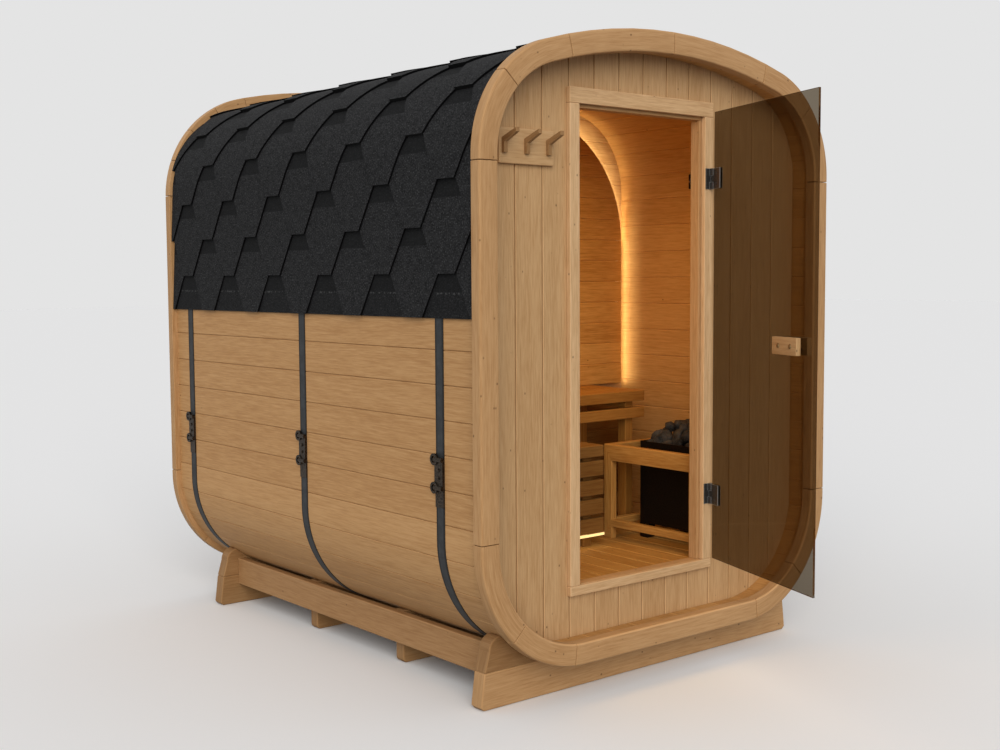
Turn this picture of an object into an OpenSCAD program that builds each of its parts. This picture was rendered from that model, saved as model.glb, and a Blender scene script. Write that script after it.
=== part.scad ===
// Garden sauna: a stave-built cabin with rounded corners, standing on a timber cradle,
// with a glass door, a shingled roof and a hot room inside. +Z is up, the door faces -Y,
// and the origin is on the ground under the middle of the front beam. Millimetres.

/* [Cabin] */
// Width over the end rims
rim_w = 1780; // [1720:10:1900]
// Height of the end rims, from underside to crown
rim_h = 2200; // [2150:10:2300]
// Length over the end rims
cabin_len = 2265; // [2200:5:3000]
// Outer radius of the rims' lower corners
foot_r = 455; // [430:5:470]
// Outer radius of the rims' shoulders
shoulder_r = 405; // [380:5:430]
// Outer radius of the rims' crown
crown_r = 2120; // [1800:10:2600]
// Thickness of the shell's staves
stave_t = 42; // [36:1:46]
// Gap left where one timber fits inside another
fit_gap = 0.3; // [0.2:0.1:0.5]

/* [End rims] */
// Depth of a rim along the cabin
rim_depth = 45; // [40:1:60]
// Width of a rim's face
rim_face = 78; // [72:1:90]
// How far the rims stand out over the staves
rim_proud = 23; // [18:1:26]
// Rounding of a rim's face edges
rim_round = 8; // [4:1:12]
// Open seam between two rim pieces
rim_seam = 0.6; // [0.4:0.1:1]
// Outer radius of the rear rim's shoulders
rear_shoulder_r = 480; // [440:5:500]
// Outer radius of the rear rim's crown
rear_crown_r = 2290; // [2000:10:2600]
// Rise of the rear rim's crown over the front rim's
rear_rise = 26; // [0:1:35]

/* [Cradle] */
// Height of the rims' underside over the ground
lift = 119; // [110:1:150]
// Thickness of the beams and saddles
beam_t = 58; // [50:1:70]
// Side of the cabin to the end of a beam at the ground
beam_inset = 89; // [60:1:110]
// How far a beam's ends lean in towards its top
beam_flare = 15; // [5:1:25]
// Chamfer of a beam's lower ends
beam_chamfer = 12; // [6:1:20]
// Space between a beam and the flat underside of the shell
beam_space = 15; // [8:1:20]
// Front face of the cabin to the front beam
front_setback = 120; // [100:5:140]
// Rear face of the cabin to the rear beam
rear_setback = 221; // [180:5:240]
// Height of a saddle's outer end
saddle_h = 120; // [100:2:130]
// Length of a saddle
saddle_len = 315; // [290:5:330]
// How far a saddle's outer end leans in
saddle_lean = 20; // [10:1:30]
// Rounding of a saddle's upper end
saddle_round = 50; // [30:1:60]
// Thickness of the side rails
rail_t = 34; // [28:1:45]
// Height of the side rails
rail_h = 116; // [100:1:120]
// Side of the cabin to the outer face of a side rail
rail_inset = 177; // [165:1:190]
// Gap between a rail and the shell
rail_space = 12; // [5:1:20]
// Thickness of the middle bearers
bearer_t = 50; // [40:1:60]
// Rounding of the bearers' lower ends
bearer_round = 18; // [8:1:30]

/* [Roof and straps] */
// Height of the shingles' lower edge over the rims' underside
eave_h = 1203; // [1100:1:1300]
// Thickness of the shingle covering
cover_t = 6; // [4:1:8]
// Width of a strap
strap_w = 45; // [35:1:60]
// Thickness of a strap
strap_t = 2; // [1:0.5:3]
// Front face of the cabin to the middle of the front strap
front_strap = 248; // [220:2:300]
// Rear face of the cabin to the middle of the rear strap
rear_strap = 183; // [150:2:230]
// Height of the tensioners' middle over the rims' underside
tensioner_h = 681; // [600:1:720]
// Length of a tensioner between its rollers
tensioner_len = 96; // [80:1:120]
// Radius of a tensioner's rollers
roller_r = 8; // [6:0.5:10]
// Outer radius of a tensioner's rings
ring_r = 20; // [16:1:22]
// Thickness of a tensioner's rings
ring_t = 8; // [5:0.5:9]
// Length of the doubled strap under a tensioner
strap_tail = 66; // [40:1:90]

/* [Walls and floor] */
// Rim face to the boards of an end wall
wall_recess = 118; // [100:1:140]
// Thickness of the end walls
wall_t = 42; // [30:1:50]
// Depth of the hot room, from the front wall's face to its back wall
hot_depth = 985; // [960:5:1200]
// Thickness of the hot room's back wall
back_wall_t = 24; // [18:1:40]
// Thickness of the floor boards
deck_t = 28; // [20:1:35]
// Step down from the threshold to the floor
deck_drop = 6; // [2:1:20]

/* [Doorway] */
// Middle of the doorway from the middle of the cabin
door_x = -48; // [-80:1:-20]
// Clear width inside the lining
door_w = 617; // [590:1:640]
// Height of the threshold over the rims' underside
sill_h = 250; // [235:1:260]
// Crown of the rims to the top of the doorway
door_head = 280; // [260:1:330]
// Thickness of the lining
lining_t = 20; // [16:1:28]
// Width of the casing boards
casing_w = 46; // [40:1:60]
// Height of the casing's head board
casing_head = 55; // [45:1:65]
// Height of the casing's sill board
casing_sill = 35; // [30:1:45]
// Thickness of the casing boards
casing_t = 20; // [15:1:25]
// Edge of the lining that shows inside the casing
casing_reveal = 12; // [6:1:14]

/* [Door] */
// Thickness of the glass
glass_t = 8; // [6:1:10]
// Lap of the glass over the casing
glass_lap = 17; // [10:1:22]
// Gap between the glass and the threshold
glass_gap = 8; // [5:1:12]
// Angle at which the door stands open
door_open = 71; // [60:1:100]
// Height of a hinge
hinge_h = 78; // [66:1:90]
// Height of a hinge's middle over or under the ends of the glass
hinge_inset = 247; // [200:1:300]
// Thickness of the hinge leaves
leaf_t = 3; // [2:0.5:4]
// Width of a hinge leaf on the casing
leaf_w = 42; // [36:1:44]
// Length of a hinge clamp along the glass
clamp_len = 46; // [36:1:60]
// Running clearance of the door
door_gap = 5; // [5:0.5:8]
// Radius of a hinge pin
pin_r = 4; // [3:0.5:5]
// Radius of a hinge knuckle
knuckle_r = 8; // [6.5:0.5:9]
// Running clearance of a pin in its knuckle
pin_gap = 0.1; // [0.05:0.01:0.1]
// Length of a handle block
handle_len = 148; // [120:1:180]
// Height of a handle block
handle_h = 60; // [40:1:70]
// Thickness of a handle block
handle_t = 18; // [14:1:24]
// Length of the handle's spacers
spacer_len = 9.5; // [8:0.5:14]
// Radius of the handle's spacers
spacer_r = 7; // [5:0.5:9]
// Free edge of the glass to the handle
handle_inset = 74; // [50:1:100]
// Height of the handle's middle over the lower edge of the glass
handle_z = 840; // [780:1:920]

/* [Hook board] */
// Inner edge of the rim to the hook board
hook_board_inset = 87.5; // [70:0.5:120]
// Height of the hook board
hook_board_h = 118; // [100:1:130]
// Thickness of the hook board
hook_board_t = 16; // [12:1:20]
// Top of the hook board under the casing's head
hook_board_drop = 102; // [80:1:200]
// Left end of the hook board to the middle of its first hook
hook_first = 17; // [12:1:30]
// Middle of the last hook to the right end of the hook board
hook_last = 29; // [20:1:60]
// Gap between the hook board and the door casing
hook_board_gap = 70; // [40:1:90]
// Width and thickness of a hook
hook_w = 15; // [12:1:18]
// Height of a hook's upright
hook_h = 50; // [40:1:60]
// Reach of a hook
hook_reach = 75; // [50:1:85]
// Rise of a hook towards its tip
hook_rise = 27; // [10:1:35]

/* [Benches] */
// Height of the upper seat over the floor
upper_h = 600; // [560:1:650]
// Depth of the upper seat
upper_d = 363; // [340:1:380]
// Right wall to the end of the upper bench
upper_space = 215; // [170:1:250]
// Height of the lower seat over the floor
lower_h = 413; // [380:1:430]
// How far the lower bench stands in front of the upper one
lower_reach = 181; // [150:1:200]
// End of the lower bench to the heater's guard
lower_space = 117; // [60:1:160]
// Edge of the floor to the nearest bench post
post_space = 28; // [20:1:60]
// Thickness of the seat boards
seat_t = 28; // [24:1:34]
// Height of the boards along the benches' fronts
front_board_h = 46; // [36:1:54]
// Thickness of the benches' frame timbers
frame_t = 45; // [35:1:50]
// Gap between seat boards
seat_gap = 12; // [8:1:18]
// Boards in each seat
seat_boards = 4; // [3:1:5]
// Slats on the front of the lower bench
front_slats = 4; // [3:1:5]
// Floor to the lowest front slat
slat_space = 55; // [40:1:80]
// Gap between front slats
slat_gap = 16; // [10:1:20]

/* [Back panel and lights] */
// Side of the shell to the back panel
panel_gap = 24; // [16:1:40]
// Crown of the room to the top of the back panel
panel_head = 97; // [80:1:140]
// Radius of the back panel's upper corners
panel_r = 537; // [420:1:560]
// Thickness of the back panel
panel_t = 14; // [10:1:20]
// Space behind the back panel for its light
panel_space = 10; // [9:1:20]
// Side of the back panel to its battens
batten_inset = 150; // [100:1:250]
// Edge of the back panel to the light behind it
strip_inset = 4; // [2:1:10]
// Width of a light strip
strip_t = 10; // [8:1:14]

/* [Wall gauge] */
// Width of the gauge
gauge_w = 110; // [80:1:130]
// Height of the gauge
gauge_h = 64; // [50:1:80]
// Thickness of the gauge
gauge_t = 18; // [12:1:22]
// Front wall to the gauge
gauge_y = 400; // [350:1:420]
// Lower edge of the gauge under the foot of the shoulder
gauge_drop = 10; // [0:1:200]
// Groove between the gauge's two dials
gauge_groove = 5; // [3:1:8]

/* [Heater] */
// Width of the heater
heater_w = 300; // [260:1:320]
// Depth of the heater
heater_d = 381; // [340:1:390]
// Height of the heater's casing
heater_h = 345; // [300:1:380]
// Space under the heater
heater_foot = 62; // [40:1:80]
// Thickness of the heater's steel
heater_t = 4; // [3:1:6]
// Depth of the stone basket
basket_depth = 60; // [40:1:90]
// Radius of a stone
stone_r = 44; // [38:1:48]
// Gap between the stones and the basket
stone_gap = 1; // [0.5:0.5:4]
// How much higher the stones lie from one to the next
stone_rise = 8; // [4:1:10]
// Front wall to the heater
heater_space = 50; // [40:1:60]
// Right wall to the heater
heater_side = 93; // [85:1:110]
// Gap between the heater and its guard
guard_space = 95; // [80:1:110]
// Rear of the heater to the back of its guard
guard_back = 89; // [60:1:100]
// Width of the guard's timbers
guard_w = 45; // [35:1:50]
// Thickness of the guard's timbers
guard_t = 30; // [24:1:34]
// Height of the guard
guard_h = 396; // [360:1:420]
// Height of the guard's top rail
guard_rail_h = 68; // [50:1:75]
// Height of the guard's low rail
guard_low_h = 30; // [24:1:36]
// Floor to the guard's low rail
guard_low_z = 51; // [40:1:70]

/* [Hidden] */
$fn = 96;

timber = "burlywood";
lit_timber = "peru";
shingle = "dimgray";
steel = "gray";

// Cabin outline: centres of its arcs, in X and Z
half_w = rim_w / 2;
foot_x = half_w - foot_r;
foot_z = lift + foot_r;
shoulder_x = half_w - shoulder_r;
crown_z = lift + rim_h - crown_r;
crown_a = asin(shoulder_x / (crown_r - shoulder_r));
spring_z = crown_z + (crown_r - shoulder_r) * cos(crown_a);
side_h = spring_z - foot_z;
arc_fn = 360;

// Insets from the outside of a rim
shell_out = rim_proud;
shell_in = rim_proud + stave_t;
room_in = shell_in + fit_gap;

// Places along the cabin
front_y = -(front_setback + beam_t / 2);
rear_y = front_y + cabin_len;
shell_y0 = front_y + rim_depth;
shell_y1 = rear_y - rim_depth;
wall_y = front_y + wall_recess;
wall_back = wall_y + wall_t;
rear_wall_y = rear_y - wall_recess;
rear_beam_y = rear_y - rear_setback - beam_t;
hot_back = wall_y + hot_depth;
casing_y = wall_y - casing_t;
strap_ys = [front_y + front_strap, (front_y + rear_y) / 2, rear_y - rear_strap];

// Cradle
beam_h = lift + rim_proud - beam_space;
beam_end = half_w - beam_inset;
saddle_out = beam_end - beam_flare;
rail_out = half_w - rail_inset;
rail_in = rail_out - rail_t;
rail_top = foot_z - sqrt(pow(foot_r - shell_out + rail_space, 2) - pow(rail_in - foot_x, 2));
rail_z = rail_top - rail_h;
bearer_half = rail_in - fit_gap;
bearer_pitch = (rear_beam_y + beam_t / 2) / 3;

// Doorway and floor
sill_z = lift + sill_h;
door_l = door_x - door_w / 2;
door_r = door_x + door_w / 2;
door_top = lift + rim_h - door_head;
cut_l = door_l - lining_t;
cut_r = door_r + lining_t;
cut_top = door_top + lining_t;
cut_z = sill_z - lining_t;
frame_l = door_l - casing_reveal;
frame_r = door_r + casing_reveal;
frame_top = door_top + casing_reveal;
deck_z = sill_z - deck_drop;
deck_half = foot_x + sqrt(pow(foot_r - room_in, 2) - pow(foot_z - deck_z, 2));
hook_board_l = rim_face + hook_board_inset - half_w;
hook_board_r = frame_l - casing_w - hook_board_gap;
hook_board_z = frame_top - hook_board_drop - hook_board_h;
hook_pitch = (hook_board_r - hook_board_l - hook_first - hook_last) / 2;

// Door: the glass lies along -X from the hinge axis when it is shut
glass_off = knuckle_r + door_gap;
glass_r = frame_r + glass_lap;
glass_w = glass_r - (frame_l - glass_lap);
glass_z = sill_z + glass_gap;
glass_h = frame_top + glass_lap - glass_z;
axis_x = glass_r + glass_off;
axis_off = leaf_t + door_gap + leaf_t + glass_t / 2;
axis_y = casing_y - axis_off;
leaf_x = frame_r + (casing_w - leaf_w) / 2 - axis_x;
hinge_z = [glass_z + hinge_inset, glass_z + glass_h - hinge_inset];
knuckle_h = hinge_h / 3;
lug_gap = 0.5;

// Heater
heater_x = half_w - shell_in - heater_side - heater_w;
heater_y = wall_back + heater_space;
heater_z = deck_z + heater_foot;
heater_top = heater_z + heater_h;
guard_x = heater_x - guard_space - guard_t;
guard_y = heater_y + heater_d + guard_back;

// Benches
seat_left = -(half_w - room_in);
upper_z = deck_z + upper_h;
upper_y = hot_back - fit_gap - upper_d;
upper_end = -seat_left - upper_space;
upper_post = upper_end - 2 * frame_t;
lower_z = deck_z + lower_h;
lower_end = guard_x - lower_space;
lower_posts = [post_space - deck_half, lower_end - 2 * frame_t];
lower_y = upper_y - lower_reach;
upper_board = (upper_d - (seat_boards - 1) * seat_gap) / seat_boards;
lower_d = lower_reach - seat_gap;
lower_board = (lower_d - (seat_boards - 3) * seat_gap) / (seat_boards - 2);
panel_half = half_w - room_in - panel_gap;
panel_flat = panel_half - panel_r;
panel_spring = lift + rim_h - room_in - panel_head - panel_r;
panel_low = upper_z + fit_gap;
panel_y = hot_back - panel_space;
slat_top = lower_z - front_board_h - slat_gap;
slat_foot = deck_z + slat_space;
slat_h = (slat_top - slat_foot - (front_slats - 1) * slat_gap) / front_slats;

// A flat shape drawn in X and Z, as a slab from y0 to y1
module slab(y0, y1) {
    translate([0, y1, 0]) rotate([90, 0, 0]) linear_extrude(y1 - y0) children();
}

// A straight timber between two corners
module bar(low, high) {
    translate(low) cube(high - low);
}

// The cabin's outline, inset from the outside of the rims
module outline(inset) {
    translate([-(half_w - inset), foot_z]) square([rim_w - 2 * inset, side_h]);
    translate([-foot_x, lift + inset]) square([2 * foot_x, foot_r - inset]);
    for (s = [-1, 1]) {
        translate([s * foot_x, foot_z]) circle(foot_r - inset);
        translate([s * shoulder_x, spring_z]) circle(shoulder_r - inset);
    }
    intersection() {
        translate([0, crown_z]) circle(crown_r - inset, $fn = arc_fn);
        crown_wedge();
    }
}

// The wedge that holds the crown between its two shoulders
module crown_wedge() {
    reach = 2 * shoulder_r;
    tip_x = shoulder_x + reach * sin(crown_a);
    tip_z = spring_z + reach * cos(crown_a);
    polygon([[-shoulder_x, spring_z], [shoulder_x, spring_z], [tip_x, tip_z], [-tip_x, tip_z]]);
}

// A bent board about the Y axis: radii, start angle, sweep, and its span along the cabin
module bent_board(r_in, r_out, from, sweep, y0, y1) {
    rotate([90, 0, 0]) rotate([0, 0, from]) rotate_extrude(angle = sweep, $fn = arc_fn)
        translate([r_in, -y1]) square([r_out - r_in, y1 - y0]);
}

// Section of a rim: its outer edge at the right, its face at the top, face edges rounded
module rim_section() {
    square([rim_face, rim_depth - rim_round]);
    translate([rim_round, 0]) square([rim_face - 2 * rim_round, rim_depth]);
    for (x = [rim_round, rim_face - rim_round])
        translate([x, rim_depth - rim_round]) circle(rim_round, $fn = 32);
}

// A curved rim piece with half a seam cut from each end
module rim_bend(r, from, sweep) {
    cut = rim_seam / r * 90 / PI;
    rotate([90, 0, 0]) rotate([0, 0, from + cut]) rotate_extrude(angle = sweep - 2 * cut, $fn = arc_fn)
        translate([r - rim_face, 0]) rim_section();
}

// The rim's section turned for straight pieces: face at the left, outer edge at the bottom
module rim_flat() {
    translate([rim_round, 0]) square([rim_depth - rim_round, rim_face]);
    translate([0, rim_round]) square([rim_depth, rim_face - 2 * rim_round]);
    for (z = [rim_round, rim_face - rim_round])
        translate([rim_round, z]) circle(rim_round, $fn = 32);
}

// A whole end rim with its face at y = 0: radii of its shoulders and crown, and the crown's rise
module rim(shoulder, crown, rise) {
    seam = rim_seam / 2;
    x = half_w - shoulder;
    low = lift + rim_h + rise - crown;
    lean = asin(x / (crown - shoulder));
    spring = low + (crown - shoulder) * cos(lean);
    translate([0, rim_depth, 0]) for (s = [0, 1]) mirror([s, 0, 0]) {
        for (k = [0, 1]) {
            translate([foot_x, 0, foot_z]) rim_bend(foot_r, 270 + 45 * k, 45);
            translate([x, 0, spring]) rim_bend(shoulder, 45 * k, 45 - k * lean);
        }
        translate([0, 0, low]) rim_bend(crown, 90 - lean, lean);
    }
    rim_base(2 * foot_x - 2 * seam);
    for (s = [0, 1]) mirror([s, 0, 0]) rim_post(spring - foot_z - 2 * seam);
}

// Straight foot of a rim
module rim_base(len) {
    translate([-len / 2, 0, lift]) rotate([90, 0, 90]) linear_extrude(len) rim_flat();
}

// Straight side of a rim, on the right
module rim_post(len) {
    translate([half_w, 0, foot_z + rim_seam / 2]) linear_extrude(len) rotate(90) rim_flat();
}

// Part of an end wall, cut to a rectangle
module wall_piece(x0, x1, z0, z1, y0, y1) {
    slab(y0, y1) intersection() {
        outline(room_in);
        translate([x0, z0]) square([x1 - x0, z1 - z0]);
    }
}

module beam(y) {
    foot = beam_end - beam_chamfer;
    side = [beam_end, beam_chamfer];
    slab(y, y + beam_t) polygon([[-foot, 0], [foot, 0], side, [saddle_out, beam_h],
        [-saddle_out, beam_h], [-side[0], side[1]]]);
}

module saddles(y) {
    top = beam_h + saddle_h;
    inner = saddle_out - saddle_len;
    side = saddle_out - saddle_lean;
    for (s = [0, 1]) mirror([s, 0, 0]) slab(y, y + beam_t) difference() {
        union() {
            polygon([[inner, beam_h], [saddle_out, beam_h], [side, top - saddle_round],
                [side - saddle_round, top], [inner, top]]);
            translate([side - saddle_round, top - saddle_round]) circle(saddle_round);
        }
        outline(shell_out - fit_gap);
    }
}

module front_beam() { color(timber) beam(-beam_t / 2); }

module rear_beam() { color(timber) beam(rear_beam_y); }

module front_saddles() { color(timber) saddles(-beam_t / 2); }

module rear_saddles() { color(timber) saddles(rear_beam_y); }

// A side rail, on the right
module rail() {
    bar([rail_in, beam_t / 2, rail_z], [rail_out, rear_beam_y, rail_top]);
}

module left_rail() { color(timber) mirror([1, 0, 0]) rail(); }

module right_rail() { color(timber) rail(); }

// A bearer across the cabin between both rails, its middle at y, hollowed to carry the shell
module bearer(y) {
    slab(y - bearer_t / 2, y + bearer_t / 2) difference() {
        union() {
            translate([-bearer_half, bearer_round]) square([2 * bearer_half, rail_top - bearer_round]);
            translate([bearer_round - bearer_half, 0])
                square([2 * (bearer_half - bearer_round), bearer_round]);
            for (s = [-1, 1])
                translate([s * (bearer_half - bearer_round), bearer_round]) circle(bearer_round, $fn = 32);
        }
        outline(shell_out - fit_gap);
    }
}

module bearers() {
    color(timber) for (k = [1, 2]) bearer(k * bearer_pitch);
}

module left_wall() {
    color(timber) bar([shell_out - half_w, shell_y0, foot_z], [shell_in - half_w, shell_y1, spring_z]);
}

module right_wall() {
    color(timber) bar([half_w - shell_in, shell_y0, foot_z], [half_w - shell_out, shell_y1, spring_z]);
}

module floor_shell() {
    color(timber) bar([-foot_x, shell_y0, lift + shell_out], [foot_x, shell_y1, lift + shell_in]);
}

module roof_shell() {
    color(timber) translate([0, 0, crown_z])
        bent_board(crown_r - shell_in, crown_r - shell_out, 90 - crown_a, 2 * crown_a, shell_y0, shell_y1);
}

module lower_corners() {
    color(timber) for (s = [0, 1]) mirror([s, 0, 0]) translate([foot_x, 0, foot_z])
        bent_board(foot_r - shell_in, foot_r - shell_out, 270, 90, shell_y0, shell_y1);
}

module upper_corners() {
    color(timber) for (s = [0, 1]) mirror([s, 0, 0]) translate([shoulder_x, 0, spring_z])
        bent_board(shoulder_r - shell_in, shoulder_r - shell_out, 0, 90 - crown_a, shell_y0, shell_y1);
}

module front_rim() { color(timber) translate([0, front_y, 0]) rim(shoulder_r, crown_r, 0); }

module rear_rim() {
    color(timber) translate([0, rear_y, 0]) mirror([0, 1, 0]) rim(rear_shoulder_r, rear_crown_r, rear_rise);
}

module roof_covering() {
    color(shingle) slab(shell_y0, shell_y1) intersection() {
        difference() {
            outline(shell_out - cover_t);
            outline(shell_out);
        }
        translate([-half_w, lift + eave_h]) square([rim_w, rim_h]);
    }
}

module straps() {
    color(steel) for (y = strap_ys)
        slab(y - strap_w / 2, y + strap_w / 2) intersection() {
            difference() {
                outline(shell_out - strap_t);
                outline(shell_out);
            }
            translate([-half_w, 0]) square([rim_w, lift + eave_h]);
        }
}

module tensioners() {
    z = lift + tensioner_h;
    x = shell_out - strap_t - half_w;
    reach = tensioner_len / 2;
    color(steel) for (y = strap_ys) {
        left = y - strap_w / 2;
        right = y + strap_w / 2;
        bar([x - roller_r, left, z - reach], [x, right, z + reach]);
        bar([x - 2 * strap_t, left, z - reach - strap_tail], [x, right, z - reach]);
        for (k = [-1, 1]) translate([x - roller_r, right, z + k * reach]) {
            rotate([90, 0, 0]) cylinder(r = roller_r, h = strap_w);
            tensioner_ring();
        }
    }
}

// A ring standing out beside a tensioner's roller
module tensioner_ring() {
    rotate([0, 90, 0]) difference() {
        cylinder(r = ring_r, h = ring_t, center = true);
        cylinder(r = ring_r - ring_t, h = 2 * ring_t, center = true);
    }
}

module front_wall_left() { color(timber) wall_piece(-half_w, cut_l, 0, lift + rim_h, wall_y, wall_back); }

module front_wall_right() { color(timber) wall_piece(cut_r, half_w, 0, lift + rim_h, wall_y, wall_back); }

module front_wall_head() { color(timber) wall_piece(cut_l, cut_r, cut_top, lift + rim_h, wall_y, wall_back); }

module front_wall_sill() { color(timber) wall_piece(cut_l, cut_r, 0, cut_z, wall_y, wall_back); }

module door_casing() {
    color(timber) {
        for (x = [frame_l - casing_w, frame_r])
            bar([x, casing_y, sill_z + fit_gap], [x + casing_w, wall_y, frame_top - fit_gap]);
        bar([frame_l - casing_w, casing_y, frame_top], [frame_r + casing_w, wall_y, frame_top + casing_head]);
        bar([frame_l - casing_w, casing_y, sill_z - casing_sill], [frame_r + casing_w, wall_y, sill_z]);
    }
}

module door_lining() {
    color(lit_timber) {
        for (x = [cut_l, door_r])
            bar([x, wall_y, sill_z + fit_gap], [x + lining_t, wall_back, door_top - fit_gap]);
        bar([cut_l, wall_y, door_top], [cut_r, wall_back, cut_top]);
        bar([cut_l, wall_y, cut_z], [cut_r, wall_back, sill_z]);
    }
}

module hook_board() {
    color(timber) bar([hook_board_l, wall_y - hook_board_t, hook_board_z],
        [hook_board_r, wall_y, hook_board_z + hook_board_h]);
}

module hooks() {
    y = wall_y - hook_board_t;
    z = hook_board_z + (hook_board_h - hook_h) / 2;
    first = hook_board_l + hook_first - hook_w / 2;
    color(timber) for (k = [0 : 2]) translate([first + k * hook_pitch, y, z])
        rotate([90, 0, 90]) linear_extrude(hook_w) polygon([[0, 0], [0, hook_h],
            [-hook_reach, hook_h + hook_rise], [-hook_reach, hook_h + hook_rise - hook_w],
            [-hook_w, hook_h - hook_w], [-hook_w, 0]]);
}

module rear_wall() { color(timber) slab(rear_wall_y - wall_t, rear_wall_y) outline(room_in); }

module hot_room_back() { color(lit_timber) slab(hot_back, hot_back + back_wall_t) outline(room_in); }

// The back panel's outline above the upper seat, inset from its side and upper edges
module panel_outline(inset) {
    r = panel_r - inset;
    intersection() {
        union() {
            translate([inset - panel_half, panel_low])
                square([2 * (panel_half - inset), panel_spring - panel_low]);
            translate([-panel_flat, panel_spring]) square([2 * panel_flat, r]);
            for (s = [-1, 1]) translate([s * panel_flat, panel_spring]) circle(r, $fn = arc_fn);
        }
        translate([-half_w, panel_low]) square([rim_w, rim_h]);
    }
}

module back_panel() {
    color(lit_timber) {
        slab(panel_y - panel_t, panel_y) panel_outline(0);
        for (s = [0, 1]) mirror([s, 0, 0]) bar([panel_half - batten_inset - frame_t, panel_y, panel_low],
            [panel_half - batten_inset, hot_back - fit_gap, panel_spring]);
    }
}

module light_strips() {
    color("khaki") {
        slab(panel_y + fit_gap, hot_back - fit_gap) difference() {
            panel_outline(strip_inset);
            panel_outline(strip_inset + strip_t);
        }
        bar([seat_left + frame_t, lower_y + fit_gap, slat_foot - strip_t - fit_gap],
            [lower_end - 2 * frame_t, lower_y + seat_t - fit_gap, slat_foot - fit_gap]);
    }
}

module floor_deck() {
    color(lit_timber) slab(wall_back + fit_gap, hot_back - fit_gap) intersection() {
        outline(room_in);
        translate([-half_w, deck_z - deck_t]) square([rim_w, deck_t]);
    }
}

module upper_seat() {
    under = upper_z - seat_t;
    color(lit_timber) {
        for (k = [0 : seat_boards - 1]) {
            y = upper_y + k * (upper_board + seat_gap);
            bar([seat_left, y, under], [upper_end, y + upper_board, upper_z]);
        }
        bar([seat_left, upper_y, upper_z - front_board_h], [upper_end, upper_y + seat_t, under]);
        for (x = [seat_left, (seat_left + upper_post) / 2, upper_post])
            bar([x, upper_y + seat_t, under - frame_t], [x + frame_t, hot_back - fit_gap, under]);
    }
}

module upper_frame() {
    top = upper_z - seat_t - frame_t;
    color(lit_timber) {
        bar([seat_left, upper_y + fit_gap, top - front_board_h], [upper_end, upper_y + seat_t, top]);
        for (y = [upper_y + seat_t, hot_back - fit_gap - frame_t])
            bar([upper_post, y, deck_z], [upper_post + frame_t, y + frame_t, top]);
    }
}

module lower_seat() {
    under = lower_z - seat_t;
    color(lit_timber) {
        for (k = [0 : seat_boards - 3]) {
            y = lower_y + k * (lower_board + seat_gap);
            bar([seat_left, y, under], [lower_end, y + lower_board, lower_z]);
        }
        bar([seat_left, lower_y, lower_z - front_board_h], [lower_end, lower_y + seat_t, under]);
        for (x = lower_posts)
            bar([x, lower_y + seat_t, lower_z - front_board_h], [x + frame_t, lower_y + lower_d, under]);
    }
}

module lower_frame() {
    color(lit_timber) {
        for (k = [0 : front_slats - 1]) {
            z = slat_top - k * (slat_h + slat_gap);
            bar([seat_left + frame_t, lower_y + fit_gap, z - slat_h], [lower_end, lower_y + seat_t, z]);
        }
        for (x = lower_posts, y = [lower_y + seat_t, lower_y + lower_d - frame_t])
            bar([x, y, deck_z], [x + frame_t, y + frame_t, lower_z - front_board_h]);
    }
}

module heater_body() {
    color(steel) {
        difference() {
            bar([heater_x, heater_y, heater_z], [heater_x + heater_w, heater_y + heater_d, heater_top]);
            bar([heater_x + heater_t, heater_y + heater_t, heater_top - basket_depth],
                [heater_x + heater_w - heater_t, heater_y + heater_d - heater_t, heater_top + heater_t]);
        }
        for (x = [heater_x, heater_x + heater_w - frame_t], y = [heater_y, heater_y + heater_d - frame_t])
            bar([x, y, deck_z], [x + frame_t, y + frame_t, heater_z]);
    }
}

module heater_stones() {
    nx = 3;
    ny = 4;
    edge = heater_t + stone_r + stone_gap;
    step_x = (heater_w - 2 * edge) / (nx - 1);
    step_y = (heater_d - 2 * edge) / (ny - 1);
    base = heater_top - basket_depth;
    top = base + 2 * stone_r;
    bed = base + stone_r + stone_rise / 2;
    x0 = heater_x + edge;
    y0 = heater_y + edge;
    color("dimgray") {
        bar([x0 - stone_r / 2, y0 - stone_r / 2, base],
            [x0 + 2 * step_x + stone_r / 2, y0 + 3 * step_y + stone_r / 2, base + stone_r]);
        for (i = [0 : nx - 1], j = [0 : ny - 1])
            translate([x0 + i * step_x, y0 + j * step_y, bed + stone_rise * ((i + 2 * j) % 3)])
                sphere(stone_r);
        for (i = [0 : nx - 2], j = [0 : ny - 2])
            translate([x0 + (i + 0.5) * step_x, y0 + (j + 0.5) * step_y, top + stone_rise * ((i + j) % 2)])
                sphere(stone_r);
    }
}

module heater_guard() {
    right = deck_half - post_space;
    top = deck_z + guard_h;
    low = deck_z + guard_low_z;
    color(lit_timber) {
        bar([guard_x, guard_y - guard_w, deck_z], [guard_x + guard_t, guard_y, top]);
        bar([guard_x, wall_back + fit_gap, deck_z], [guard_x + guard_t, wall_back + fit_gap + guard_w, top]);
        bar([right - guard_w, guard_y - guard_t, deck_z], [right, guard_y, top]);
        for (z = [[low, low + guard_low_h], [top - guard_rail_h, top]]) {
            bar([guard_x, wall_back + fit_gap, z[0]], [guard_x + guard_t, guard_y, z[1]]);
            bar([guard_x, guard_y - guard_t, z[0]], [right, guard_y, z[1]]);
        }
    }
}

module wall_gauge() {
    x = half_w - shell_in - fit_gap;
    y = wall_back + gauge_y;
    z = spring_z - gauge_drop;
    color("dimgray") difference() {
        wall_piece(x - gauge_t, x, z, z + gauge_h, y, y + gauge_w);
        bar([x - gauge_t - 1, y - 1, z + (gauge_h - gauge_groove) / 2],
            [x - gauge_t + gauge_groove, y + gauge_w + 1, z + (gauge_h + gauge_groove) / 2]);
    }
}

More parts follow.
